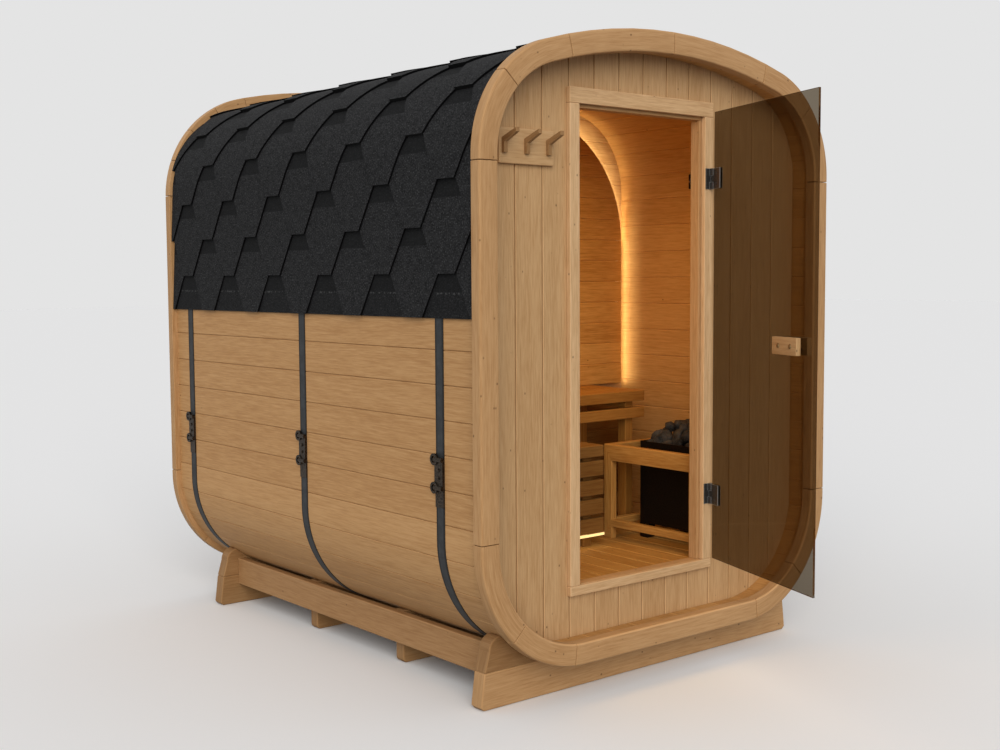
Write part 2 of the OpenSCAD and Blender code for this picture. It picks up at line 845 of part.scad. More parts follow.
module frame_hinges() {
    color(steel) for (z = hinge_z) translate([axis_x, axis_y, z]) {
        bar([leaf_x, axis_off - leaf_t, -hinge_h / 2], [leaf_x + leaf_w, axis_off, hinge_h / 2]);
        for (s = [-1, 1]) {
            low = s > 0 ? hinge_h / 2 - knuckle_h : -hinge_h / 2;
            translate([0, 0, low]) {
                cylinder(r = knuckle_r, h = knuckle_h);
                bar([-knuckle_r, 0, 0], [knuckle_r, axis_off - leaf_t, knuckle_h]);
            }
        }
        cylinder(r = pin_r, h = hinge_h, center = true);
    }
}

// Places its children on the door, turned about the hinge axis from shut to where it stands
module on_door() {
    translate([axis_x, axis_y, 0]) rotate([0, 0, door_open]) children();
}

module door_glass() {
    color("saddlebrown", 0.5) on_door()
        bar([-glass_off - glass_w, -glass_t / 2, glass_z], [-glass_off, glass_t / 2, glass_z + glass_h]);
}

module door_clamps() {
    middle = knuckle_h - 2 * lug_gap;
    face = glass_t / 2 + leaf_t;
    color(steel) on_door() for (z = hinge_z) translate([0, 0, z]) difference() {
        union() {
            cylinder(r = knuckle_r, h = middle, center = true);
            bar([-glass_off, -face, -middle / 2], [0, face, middle / 2]);
            for (s = [-1, 1]) bar([-glass_off - clamp_len, s > 0 ? glass_t / 2 : -face, -hinge_h / 2],
                [-glass_off, s > 0 ? face : -glass_t / 2, hinge_h / 2]);
        }
        cylinder(r = pin_r + pin_gap, h = hinge_h, center = true);
    }
}

module door_handle() {
    far = -glass_off - glass_w + handle_inset;
    color(timber) on_door() translate([far, 0, glass_z + handle_z]) for (s = [0, 1]) mirror([0, s, 0])
        translate([0, glass_t / 2, 0]) {
            bar([0, spacer_len, -handle_h / 2], [handle_len, spacer_len + handle_t, handle_h / 2]);
            for (x = [handle_len / 4, handle_len * 3 / 4])
                translate([x, 0, 0]) rotate([-90, 0, 0]) cylinder(r = spacer_r, h = spacer_len);
        }
}

front_beam();
rear_beam();
front_saddles();
rear_saddles();
left_rail();
right_rail();
bearers();
left_wall();
right_wall();
floor_shell();
roof_shell();
lower_corners();
upper_corners();
front_rim();
rear_rim();
roof_covering();
straps();
tensioners();
front_wall_left();
front_wall_right();
front_wall_head();
front_wall_sill();
door_casing();
door_lining();
hook_board();
hooks();
rear_wall();
hot_room_back();
back_panel();
light_strips();
floor_deck();
upper_seat();
upper_frame();
lower_seat();
lower_frame();
heater_body();
heater_stones();
heater_guard();
wall_gauge();
frame_hinges();
door_glass();
door_clamps();
door_handle();
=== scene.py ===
"""Looks of a garden sauna cabin with rounded corners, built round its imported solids.

Metres, +Z up, the door faces -Y. Sizes come from the frame; what the frame doesn't hold is named below.
"""

import math
import random

import bmesh
import bpy
from mathutils import Matrix, Vector, noise


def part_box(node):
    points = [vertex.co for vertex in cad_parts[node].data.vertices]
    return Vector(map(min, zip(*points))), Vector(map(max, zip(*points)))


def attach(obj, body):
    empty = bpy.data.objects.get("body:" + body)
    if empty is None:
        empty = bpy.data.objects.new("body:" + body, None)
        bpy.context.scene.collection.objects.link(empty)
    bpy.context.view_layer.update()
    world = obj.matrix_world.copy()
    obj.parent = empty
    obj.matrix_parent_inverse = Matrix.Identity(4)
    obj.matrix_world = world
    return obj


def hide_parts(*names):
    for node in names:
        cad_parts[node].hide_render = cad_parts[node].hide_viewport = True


RNG = random.Random(11)

# How far apart pieces may start on the grain, and how near places count as one
GRAIN_SPREAD = 40.0
SHINGLE_SPREAD = 30.0
SAME_PLACE = 1e-6
MERGE = 1e-5

# Shell
SHOULDER_R = 0.405
CROWN_R = 2.120
REAR_SHOULDER_R = 0.480
REAR_CROWN_R = 2.290
STAVE_COVER = 0.1175
STAVE_LINE_Z = 1.216
BEND_STEP = math.radians(3)

# End rims, the places of their seams, and the pieces round each shoulder
RIM_FACE = 0.078
RIM_ROUND = 0.008
ROUND_STEPS = 5
RIM_SEAM = 0.0024
RIM_EASE = 0.0015
BASE_SEAM_X = 0.479
FOOT_SEAM_Z = 0.593
POST_SEAM_Z = 1.826
CROWN_SEAM_X = 0.506
FRONT_BENDS = 2
REAR_BENDS = 4

# Boards of the end walls, the back panel and the floor; grooves as half their width and depth
BOARD_COVER = 0.1213
BOARD_LINE_X = -0.645
LEAST_BOARD = 0.020
BACK_COVER = 0.094
DECK_COVER = 0.092
STAVE_GROOVE = (0.0010, 0.004)
LINING_GROOVE = (0.0013, 0.0030)
BOARD_GROOVE = (0.0025, 0.008)
PANEL_GROOVE = (0.0013, 0.0030)
DECK_GROOVE = (0.0020, 0.008)
GROOVE_FLOOR = 0.8
EDGE_EASE = 0.0014
FACE_STEPS = 6
FIT = 0.0003

# Back panel and its battens
PANEL_R = 0.537
PANEL_BACK_Y = 0.944
BATTEN_X = (-0.650, 0.605)
BATTEN_W = 0.045
BATTEN_GROOVE = (0.001, 0.002)

# Shingles
TAB_EXPOSURE = 0.155
TAB_PITCH = 0.376
TAB_FLAT = 0.100
TAB_SLOPE = 0.088
TAB_LAP = 0.030
LEAST_TAB = 0.005
FIRST_FLAT = -0.008
EVEN_TAB_Y = 0.229
SHINGLE_T = 0.009
SHINGLE_LOW = 0.018
SHINGLE_TOP = 0.0015
STARTER_FALL = 0.5
ROW_STEP = 0.030
LEAST_ROW = 0.010
RIDGE_HALF = 0.125
RIDGE_EXPOSURE = 0.145
RIDGE_LAP = 1.3
RIDGE_STEP = 0.002

# The shaded band of a tab, and the dotted line under it
SHADE_BAND = 0.250
BAND_WANDER = 0.006
DOTS_DROP = 0.005
DOTS_HALF = 0.003

# Width of the band of painted shade, near black, along each edge of the straps
EDGE_SHADE_BAND = 0.008

# Eased edges and the painted highlight on them, the turn under which faces count as one and that from
# which an edge is eased, and the degrees from which an edge is shaded sharp
TIMBER_EASE = 0.004
BOARD_EASE = 0.003
SLIM_EASE = 0.002
STEEL_EASE = 0.0012
FINE_EASE = 0.001
# Share of the painted highlight that eased edges get
EDGE_HIGHLIGHT = 0.3
FLAT_TURN = math.radians(1)
CORNER_TURN = math.radians(30)
SOLID_SHARP = 30
DRESSED_SHARP = 20
STONE_SHARP = 40

# Boards of the bench seats, and how tone and grain step from one to the next
UPPER_BOARDS = 4
LOWER_BOARDS = 2
TONE_STEP = 0.37
GRAIN_STEP = 3.1

# Tensioner bolts: drops from the plates' top, place in from their outside, and size
BOLT_DROPS = (0.055, 0.082)
BOLT_IN = 0.0075
BOLT_R = 0.0065
BOLT_LENGTH = 0.006
BOLT_DOME = 0.0008

# Screws of the hinge leaves, and bolt heads on the door as radius and height
SCREW_IN = 0.011
SCREW_OUT = 0.0035
SCREW_RISES = (-0.025, 0.0, 0.025)
SCREW_R = 0.0042
SCREW_LENGTH = 0.002
HANDLE_PARTS = (0.25, 0.75)
HANDLE_HEAD = (0.0085, 0.004)
CLAMP_PARTS = (0.62,)
CLAMP_RISES = (-0.02, 0.02)
CLAMP_HEAD = (0.005, 0.002)

# Rods and rings: eased part of a rod, narrow end of its dome, and grain from one step of a ring to the next
ROD_EASE = 0.2
DOME_PART = 0.45
RING_GRAIN = 0.01

# Dials of the gauge, and the cover of the lower light strip
DIAL_PARTS = (0.27, 0.73)
DIAL_R = 0.020
DIAL_WIRE = 0.002
COVER_T = 0.0033
COVER_H = 0.009
COVER_LIP = 0.001
COVER_EASE = 0.002

# Stones: layers as rows, columns and inset in stone sizes; bulges as scale and height
STONE_SIZE = 0.027
STONE_LAYERS = ((5, 7, 0.9), (5, 7, 0.9), (4, 6, 1.8), (3, 4, 3.0))
STONE_FIRST = 0.7
STONE_RISE = 1.2
STONE_JITTER = 0.010
STONE_SHAPE = (0.75, 1.30)
STONE_SEEDS = 50
STONE_BODY = 0.95
STONE_BULGES = ((1.2, 0.40), (3.0, 0.14))

# Wide lamps in the hot room, in watts
CEILING_POWER = 4.0
CEILING_Z = 2.12
CEILING_SIZE = {"size": 1.0, "size_y": 0.6, "spread": math.radians(130)}
LEFT_POWER = 3.0
LEFT_PLACE = (-0.74, 0.5, 1.55)
LEFT_AIM = (0.6, 0.75, 1.45)
LEFT_SIZE = {"size": 0.5, "size_y": 0.9}

# Lines and glows along the panel's edge and under the lower bench, as radiance. Turns and facings are
# shares of the directions out from the panel and back, and the glows lie at shares of the gap to the shell
SIDE_LINE = 8.0
ARCH_LINE = 13.0
ARCH_GLOW = 75.0
BENCH_GLOW = 3.0
LINE_WIDTH = 0.010
LINE_OUT = 0.003
LINE_BACK = 0.004
SIDE_TURN = -0.25
ARCH_TURN = 0.4
GLOW_OUT = 0.3
GLOW_AHEAD = 0.22
GLOW_FACING = (0.6, 0.8)
BENCH_AHEAD = 0.008
BENCH_FACING = (0, -0.3, -1)
EDGE_GLOW = 2.6
EDGE_FADE = 0.040
WIDE_GAP = 0.070
WIDEST_GAP = 0.3
GAP_ROUNDS = 20
LEAST_FADE = 0.45
FAN_WIDTH = 0.030
FAN_STEPS = 3
ARCH_STEPS = 6

# Camera, solved from the photograph's perspective
CAMERA_PLACE = (-3.4438, -3.3610, 1.4589)
CAMERA_YAW = math.radians(39.344)
CAMERA_PITCH = math.radians(4.347)
CAMERA_ROLL = math.radians(-0.343)
CAMERA_LENS = 46.66
CAMERA_SENSOR = 36.0

# Stage
FLOOR_REACH = 60.0
FLOOR_DROP = 0.001
SKY_STRENGTH = 0.62
SUN_PLACE = (-3.8, -4.8, 2.4)
SUN_POWER = 2.2
SUN_ANGLE = math.radians(50)

# Colours, linear
PINE = ((0.490, 0.282, 0.128), (0.435, 0.240, 0.102), (0.365, 0.188, 0.073))
# The hot room's pine, more orange than the pine outside: warm room light painted in
LIT_PINE = ((0.480, 0.245, 0.066), (0.415, 0.198, 0.047), (0.325, 0.140, 0.029))
# Painted highlight on marked wood edges, as how much paler than the light wood it is
HIGHLIGHT_PALER = 1.3
KNOT_DARKER = 0.30
SHINGLE_DARK = (0.0055, 0.0055, 0.0058)
SHINGLE_PALE = (0.031, 0.031, 0.032)
SHINGLE_GLINT = (0.085, 0.086, 0.088)
SHINGLE_SHADE = (0.0062, 0.0064, 0.0066)
SHINGLE_DOTS = (0.09, 0.09, 0.09)
# Painted shade on the shingles' edges
SHINGLE_EDGE_SHADE = (0.0015, 0.0015, 0.0016)
GLASS_TINT = (0.224, 0.185, 0.137)
GLASS_SHADOW = (0.75, 0.70, 0.62)
BACKGROUND = (0.776, 0.776, 0.776)
FLOOR_COLOUR = (0.926, 0.913, 0.900)
FLOOR_BOUNCE = (0.25, 0.25, 0.25)
SKY_LIGHT = (0.93, 0.96, 1.0)
SUN_LIGHT = (1.0, 0.97, 0.93)
ROOM_LIGHT = (1.0, 0.61, 0.16)
STRIP_LIGHT = (1.0, 0.90, 0.60)

# Wood grain, in cycles per metre along and across it, and knots in parts of a cell
GRAIN_DRIFT = (1.4, 5.0, 1.0)
GRAIN_SWAY = 0.03
GRAIN_FIBRES = (16.0, 260.0, 1.0)
GRAIN_LINES = (7.0, 120.0, 1.0)
GRAIN_BANDS = (1.2, 24.0, 1.0)
TONE_REACH = 0.04
KNOT_CELLS = (24.0, 32.0, 1.0)
KNOT_CORE = 0.05
KNOT_EDGE = 0.14

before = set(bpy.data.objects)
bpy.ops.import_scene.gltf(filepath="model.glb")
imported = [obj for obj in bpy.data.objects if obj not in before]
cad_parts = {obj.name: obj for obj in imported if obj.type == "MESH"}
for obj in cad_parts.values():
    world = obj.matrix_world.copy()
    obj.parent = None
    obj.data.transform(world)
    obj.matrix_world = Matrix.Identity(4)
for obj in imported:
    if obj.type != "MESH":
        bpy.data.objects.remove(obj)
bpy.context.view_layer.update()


class Outline:
    """The cabin's outline of tangent arcs. A place on it is its distance s along the staves' outer
    faces from the middle of the floor, positive to the right and negative to the left. An inset is
    measured inwards from the outside of the rims."""

    def __init__(self, rim, shoulder_r, crown_r):
        rim_low, rim_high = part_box(rim)
        wall_low, wall_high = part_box("right_wall")
        self.half_w = rim_high.x
        self.lift = rim_low.z
        self.proud = self.half_w - wall_high.x
        self.shell_in = self.half_w - wall_low.x
        self.foot_z = wall_low.z
        self.foot_r = self.foot_z - self.lift
        self.foot_x = self.half_w - self.foot_r
        self.shoulder_r = shoulder_r
        self.shoulder_x = self.half_w - shoulder_r
        self.crown_r = crown_r
        self.crown_z = rim_high.z - crown_r
        self.crown_a = math.asin(self.shoulder_x / (crown_r - shoulder_r))
        self.spring_z = self.crown_z + (crown_r - shoulder_r) * math.cos(self.crown_a)
        foot_arc = (self.foot_r - self.proud) * math.pi / 2
        shoulder_arc = (shoulder_r - self.proud) * (math.pi / 2 - self.crown_a)
        crown_arc = (crown_r - self.proud) * self.crown_a
        side = self.spring_z - self.foot_z
        self.lengths = [self.foot_x, foot_arc, side, shoulder_arc, crown_arc]
        foot = (self.foot_r, self.foot_x, self.foot_z, -math.pi / 2)
        shoulder = (shoulder_r, self.shoulder_x, self.spring_z, 0.0)
        crown = (crown_r, 0.0, self.crown_z, math.pi / 2 - self.crown_a)
        self.arcs = [None, foot, None, shoulder, crown]
        self.joints = [sum(self.lengths[:k]) for k in range(len(self.lengths) + 1)]
        self.total = self.joints[-1]

    def side_s(self, z):
        """Distance along the outline to a height on the straight side."""
        return self.joints[2] + z - self.foot_z

    def crown_s(self, x):
        """Distance along the outline to a place on the crown, x from its middle."""
        return self.total - (self.crown_r - self.proud) * math.asin(x / self.crown_r)

    def at(self, s, inset):
        """Place (x, z) on the outline."""
        rest = abs(s)
        side = math.copysign(1.0, s)
        run = 0
        while run < len(self.lengths) - 1 and rest > self.lengths[run]:
            rest -= self.lengths[run]
            run += 1
        if run == 0:
            return side * rest, self.lift + inset
        if run == 2:
            return side * (self.half_w - inset), self.foot_z + rest
        radius, centre_x, centre_z, start = self.arcs[run]
        turn = start + rest / (radius - self.proud)
        reach = radius - inset
        return side * (centre_x + reach * math.cos(turn)), centre_z + reach * math.sin(turn)

    def point(self, s, inset, y):
        """Point in space over a place on the outline."""
        x, z = self.at(s, inset)
        return Vector((x, y, z))

    def stations(self, s0, s1):
        """Distances from s0 to s1, close together where the outline bends."""
        found = [s0, s1]
        for sign in (-1, 1):
            for run, arc in enumerate(self.arcs):
                low, high = sorted((sign * self.joints[run], sign * self.joints[run + 1]))
                low, high = max(low, s0), min(high, s1)
                if high <= low:
                    continue
                count = 1
                if arc:
                    count = max(1, math.ceil((high - low) / (arc[0] - self.proud) / BEND_STEP))
                found += [low + (high - low) * k / count for k in range(count + 1)]
        return distinct(found, SAME_PLACE)

    def span_at(self, x, inset):
        """Lowest and highest z inside the outline at x."""
        x = abs(x)
        low = self.lift + inset
        if x > self.foot_x:
            low = self.foot_z - other_side(self.foot_r - inset, x - self.foot_x)
        if x <= (self.crown_r - inset) * math.sin(self.crown_a):
            return low, self.crown_z + other_side(self.crown_r - inset, x)
        return low, self.spring_z + other_side(self.shoulder_r - inset, x - self.shoulder_x)

    def half_at(self, z, inset):
        """Half the width inside the outline at height z."""
        if z < self.foot_z:
            return self.foot_x + other_side(self.foot_r - inset, self.foot_z - z)
        if z <= self.spring_z:
            return self.half_w - inset
        if z <= self.spring_z + (self.shoulder_r - inset) * math.cos(self.crown_a):
            return self.shoulder_x + other_side(self.shoulder_r - inset, z - self.spring_z)
        return other_side(self.crown_r - inset, z - self.crown_z)


def other_side(radius, side):
    """The other side of a right triangle whose longest side is a radius."""
    return math.sqrt(max(0.0, radius**2 - side**2))


def distinct(values, least):
    """Values in order, without those that lie within the least step of the one before."""
    values = sorted(values)
    return [value for i, value in enumerate(values) if i == 0 or value - values[i - 1] > least]


def add_object(name, data):
    """A new object in the scene."""
    made = bpy.data.objects.new(name, data)
    bpy.context.scene.collection.objects.link(made)
    return made


def finish_piece(mesh, name, materials, body, replaced, sharp):
    """Turns a mesh into a piece of the object."""
    for material in materials:
        mesh.materials.append(material)
    mesh.shade_smooth()
    mesh.set_sharp_from_angle(angle=math.radians(sharp))
    piece = add_object(name, mesh)
    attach(piece, body)
    if replaced:
        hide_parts(*replaced)


class Solid:
    """Faces with their place on the grain, in metres, a tone from 0 to 1, an edge mark, 1 on marked edges,
    which the woods and most metals paint as a highlight and the shingles and straps as shade, and the index
    of their material."""

    def __init__(self):
        self.points = []
        self.faces = []

    def add(self, indices, grain, tone, edge=0.0, skin=0):
        """One face through the points of these indices."""
        self.faces.append((indices, grain, tone, edge, skin))

    def loft(self, rings, place, tone=None, edges=(), lined=()):
        """A closed solid through rings of points, where place(ring, point) is the distance along the
        grain. Point i of a ring lies across from point -1-i. The sides that start at the points in
        edges carry the edge mark, painted as a highlight by wood and as shade by straps, and those in lined
        take the second material."""
        tone = RNG.random() if tone is None else tone
        u0, v0 = RNG.uniform(0, GRAIN_SPREAD), RNG.uniform(0, GRAIN_SPREAD)
        base = len(self.points)
        count = len(rings[0])
        across = [v0]
        for i, point in enumerate(rings[0]):
            across.append(across[-1] + (rings[0][(i + 1) % count] - point).length)
        for ring in rings:
            self.points += ring

        def spot(r, i):
            return (u0 + place(r, rings[r][i % count]), across[i])

        for r in range(len(rings) - 1):
            low, high = base + r * count, base + (r + 1) * count
            for i in range(count):
                j = (i + 1) % count
                grain = [spot(r, i), spot(r, i + 1), spot(r + 1, i + 1), spot(r + 1, i)]
                face = (low + i, low + j, high + j, high + i)
                self.add(face, grain, tone, float(i in edges), int(i in lined))
        for r in (0, len(rings) - 1):
            for i in range(count // 2 - 1):
                corners = (i, i + 1, count - 2 - i, count - 1 - i)
                self.add([base + r * count + k for k in corners], [spot(r, k) for k in corners], tone)

    def build(self, name, materials, slot, body="cabin", replaced=()):
        """The faces as a piece of the object."""
        mesh = bpy.data.meshes.new(name)
        faces, grains, tones, edges, skins = zip(*self.faces)
        mesh.from_pydata(self.points, [], faces)
        layer = mesh.uv_layers.new(name="grain")
        layer.data.foreach_set("uv", [value for grain in grains for pair in grain for value in pair])
        mesh.attributes.new("tone", "FLOAT", "FACE").data.foreach_set("value", tones)
        mesh.attributes.new("edge", "FLOAT", "FACE").data.foreach_set("value", edges)
        mesh.polygons.foreach_set("material_index", skins)
        work = bmesh.new()
        work.from_mesh(mesh)
        bmesh.ops.recalc_face_normals(work, faces=work.faces)
        work.to_mesh(mesh)
        work.free()
        finish_piece(mesh, name, materials, body, replaced, SOLID_SHARP)


def opened(node):
    """A CAD node's mesh, open for work on it, with its doubled points merged."""
    work = bmesh.new()
    work.from_mesh(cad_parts[node].data)
    bmesh.ops.remove_doubles(work, verts=work.verts, dist=MERGE)
    return work


def islands(work):
    """Groups of faces that hang together."""
    left = set(work.faces)
    while left:
        group = set()
        queue = [min(left, key=lambda face: face.index)]
        left.discard(queue[0])
        while queue:
            face = queue.pop()
            group.add(face)
            for edge in face.edges:
                for other in edge.link_faces:
                    if other in left:
                        left.discard(other)
                        queue.append(other)
        yield sorted(group, key=lambda face: face.index)


def solid_spans(node, axis):
    """Reach of each of a node's solids along an axis."""
    work = opened(node)
    work.faces.index_update()
    spans = []
    for group in islands(work):
        places = [vert.co[axis] for face in group for vert in face.verts]
        spans.append((min(places), max(places)))
    work.free()
    return sorted(spans)


def dress(node, material, bevel=BOARD_EASE, segments=2, body="cabin", pitch=None, wear_and_highlight=EDGE_HIGHLIGHT):
    """A copy of a CAD node with eased edges that carry more or less of the edge mark, which the woods and
    most metals paint as a highlight, and its grain along each face's longest edge. With a pitch (axis,
    start, step), each board of that pitch gets a tone of its own."""
    work = opened(node)
    bmesh.ops.dissolve_limit(work, angle_limit=FLAT_TURN, verts=work.verts, edges=work.edges)
    edges = [e for e in work.edges if e.is_manifold and e.calc_face_angle(0.0) > CORNER_TURN]
    layer = work.loops.layers.uv.new("grain")
    tones = work.faces.layers.float.new("tone")
    edge_highlight_layer = work.faces.layers.float.new("edge")
    eased = bmesh.ops.bevel(work, geom=edges, offset=bevel, segments=segments, profile=0.5,
                            affect="EDGES", clamp_overlap=True)
    # Painted highlight: the eased faces carry a share of the edge mark
    for face in eased["faces"]:
        face[edge_highlight_layer] = wear_and_highlight
    work.faces.index_update()
    for group in islands(work):
        offset = Vector((RNG.uniform(0, GRAIN_SPREAD), RNG.uniform(0, GRAIN_SPREAD)))
        tone = RNG.random()
        for face in group:
            edge = max(face.edges, key=lambda e: e.calc_length())
            along = (edge.verts[1].co - edge.verts[0].co).normalized()
            along *= math.copysign(1.0, sum(along))
            side = face.normal.cross(along)
            face[tones] = tone
            shift = 0.0
            if pitch:
                axis, start, step = pitch
                board = math.floor((face.calc_center_median()[axis] - start) / step)
                face[tones] = (tone + TONE_STEP * board) % 1.0
                shift = GRAIN_STEP * board
            for loop in face.loops:
                co = loop.vert.co
                loop[layer].uv = offset + Vector((co.dot(along) + shift, co.dot(side)))
    mesh = bpy.data.meshes.new(node + "_dressed")
    work.to_mesh(mesh)
    work.free()
    finish_piece(mesh, mesh.name, [material], body, [node], DRESSED_SHARP)


class Nodes:
    """A node tree with short ways to add to it."""

    def __init__(self, tree):
        self.tree = tree

    def node(self, kind, inputs=None, **settings):
        """A new node, with its settings and what feeds its inputs."""
        made = self.tree.nodes.new("ShaderNode" + kind)
        for key, value in settings.items():
            setattr(made, key, value)
        for key, value in (inputs or {}).items():
            self.feed(made.inputs[key], value)
        return made

    def feed(self, socket, value):
        """Links a socket to another, or sets its value."""
        if isinstance(value, bpy.types.NodeSocket):
            self.tree.links.new(value, socket)
        else:
            socket.default_value = value

    def math(self, operation, a, b=0.0):
        """Result of an operation on two values."""
        return self.node("Math", {0: a, 1: b}, operation=operation).outputs[0]

    def seen_rays(self):
        """1 for rays that show a surface to the eye, straight, mirrored or through glass."""
        path = self.node("LightPath").outputs
        either = self.math("MAXIMUM", path["Is Camera Ray"], path["Is Glossy Ray"])
        return self.math("MAXIMUM", either, path["Is Transmission Ray"])

    def finish(self, output, factor, first, second):
        """Ends the tree in a mix of two shaders."""
        both = self.node("MixShader", {0: factor, 1: first.outputs[0], 2: second.outputs[0]})
        self.tree.links.new(both.outputs[0], self.tree.nodes[output].inputs["Surface"])


class Shader(Nodes):
    """A material with short ways to colour it."""

    def __init__(self, name, **settings):
        self.material = bpy.data.materials.new(name)
        self.material.use_nodes = True
        super().__init__(self.material.node_tree)
        self.surface = self.tree.nodes["Principled BSDF"]
        self.give(**settings)

    def give(self, **settings):
        """Sets or links inputs of the surface."""
        for key, value in settings.items():
            self.feed(self.surface.inputs[key.replace("_", " ").title().replace("Ior", "IOR")], value)

    def grain(self):
        """Place along and across the grain."""
        return self.node("UVMap", uv_map="grain").outputs["UV"]

    def mark(self, name):
        """A face's tone or edge."""
        return self.node("Attribute", attribute_name=name).outputs["Fac"]

    def scaled(self, vector, factors):
        """Vector with each part scaled."""
        return self.node("VectorMath", {0: vector, 1: factors}, operation="MULTIPLY").outputs[0]

    def noise(self, vector, scale=1.0, detail=2.0, roughness=0.5):
        """Smooth noise."""
        inputs = {"Vector": vector, "Scale": scale, "Detail": detail, "Roughness": roughness}
        return self.node("TexNoise", inputs).outputs[0]

    def streaks(self, vector, factors, detail=2.0, roughness=0.5):
        """Noise drawn out, in cycles per metre each way."""
        return self.noise(self.scaled(vector, factors), 1.0, detail, roughness)

    def times(self, a, b):
        """Product of two values."""
        return self.math("MULTIPLY", a, b)

    def weighed(self, *terms):
        """Sum of values, each times its weight."""
        parts = [self.times(value, weight) for value, weight in terms]
        total = parts[0]
        for part in parts[1:]:
            total = self.math("ADD", total, part)
        return total

    def span(self, value, low, high, to_low=0.0, to_high=1.0):
        """Value carried from one range to another, and kept inside it."""
        inputs = {"Value": value, "From Min": low, "From Max": high, "To Min": to_low, "To Max": to_high}
        return self.node("MapRange", inputs).outputs[0]

    def mix(self, factor, a, b):
        """Colour between two others."""
        made = self.node("Mix", data_type="RGBA")
        for socket, value in ((made.inputs[0], factor), (made.inputs[6], a), (made.inputs[7], b)):
            if isinstance(value, tuple):
                value = (*value, 1.0)
            self.feed(socket, value)
        return made.outputs[2]

    def bump(self, height, strength, distance):
        """Small relief of the surface."""
        inputs = {"Height": height, "Strength": strength, "Distance": distance}
        self.give(normal=self.node("Bump", inputs).outputs[0])


def shaded(colours, factors):
    """Colours with each channel scaled."""
    return [tuple(c * f for c, f in zip(colour, factors)) for colour in colours]


def wood(name, colours, knots):
    """Planed softwood: fine fibres and faint bands along the grain, a painted highlight on marked edges,
    small dark knots on a share of the cells of a grid."""
    light, mid, dark = colours
    shader = Shader(name, roughness=0.62, specular_ior_level=0.30)
    grain = shader.grain()
    sway = {"Y": shader.times(shader.streaks(grain, GRAIN_DRIFT, 1.0), GRAIN_SWAY)}
    bent = shader.node("VectorMath", {0: grain, 1: shader.node("CombineXYZ", sway).outputs[0]}).outputs[0]
    fine = shader.streaks(bent, GRAIN_FIBRES, 2.0, 0.6)
    lines = shader.streaks(bent, GRAIN_LINES, 2.0, 0.6)
    bands = shader.streaks(bent, GRAIN_BANDS, 2.0, 0.5)
    value = shader.weighed((fine, 0.40), (lines, 0.42), (bands, 0.18))
    value = shader.math("ADD", value, shader.span(shader.mark("tone"), 0.0, 1.0, -TONE_REACH, TONE_REACH))
    colour = shader.mix(shader.span(value, 0.38, 0.50), dark, mid)
    colour = shader.mix(shader.span(value, 0.50, 0.62), colour, light)
    # Painted highlight, paler than the light wood, on the marked edges
    wear_and_highlight = shader.times(shader.mark("edge"), 0.6)
    colour = shader.mix(wear_and_highlight, colour, tuple(HIGHLIGHT_PALER * c for c in light))
    cells = shader.node("TexVoronoi", {"Vector": shader.scaled(bent, KNOT_CELLS), "Scale": 1.0})
    pick = shader.node("SeparateColor", {0: cells.outputs["Color"]}).outputs[0]
    spot = shader.span(cells.outputs["Distance"], KNOT_CORE, KNOT_EDGE, 0.85, 0.0)
    spot = shader.times(spot, shader.math("GREATER_THAN", pick, 1.0 - knots))
    colour = shader.mix(spot, colour, tuple(KNOT_DARKER * c for c in dark))
    shader.give(base_color=colour, roughness=shader.span(fine, 0.3, 0.7, 0.55, 0.72))
    shader.bump(shader.math("ADD", fine, lines), 0.06, 0.002)
    return shader.material


def shingle_material():
    """Mineral granules on felt, with the shaded band at the top of each exposed tab, a dotted line under
    it along the eaves, and painted shade, near black, on the edges of the tabs and sheets."""
    shader = Shader("shingle", roughness=0.95, specular_ior_level=0.15)
    grain = shader.grain()
    granules = shader.noise(grain, 420.0, 2.0, 0.6)
    speckle = shader.noise(grain, 165.0, 2.0, 0.7)
    clumps = shader.noise(grain, 38.0, 3.0, 0.6)
    value = shader.weighed((granules, 0.30), (speckle, 0.45), (clumps, 0.25))
    colour = shader.mix(shader.span(value, 0.40, 0.60), SHINGLE_DARK, SHINGLE_PALE)
    glint = shader.times(shader.span(speckle, 0.58, 0.68), 0.6)
    colour = shader.mix(glint, colour, SHINGLE_GLINT)
    up = shader.node("SeparateXYZ", {0: grain}).outputs[1]
    level = shader.math("ADD", up, shader.times(shader.math("SUBTRACT", clumps, 0.5), BAND_WANDER))
    band = shader.times(shader.math("GREATER_THAN", level, SHADE_BAND), 0.72)
    dim = shader.math("MAXIMUM", band, shader.times(shader.mark("tone"), 0.45))
    colour = shader.mix(dim, colour, SHINGLE_SHADE)
    near = shader.math("COMPARE", level, SHADE_BAND - DOTS_DROP)
    near.node.inputs[2].default_value = DOTS_HALF
    dots = shader.math("GREATER_THAN", shader.streaks(grain, (110.0, 60.0, 1.0), 1.0), 0.54)
    line = shader.times(shader.times(near, dots), shader.mark("tone"))
    colour = shader.mix(shader.times(line, 0.5), colour, SHINGLE_DOTS)
    # Painted shade: the marked edges of the shingles turn near black
    shader.give(base_color=shader.mix(shader.mark("edge"), colour, SHINGLE_EDGE_SHADE))
    shader.bump(value, 0.5, 0.0015)
    return shader.material


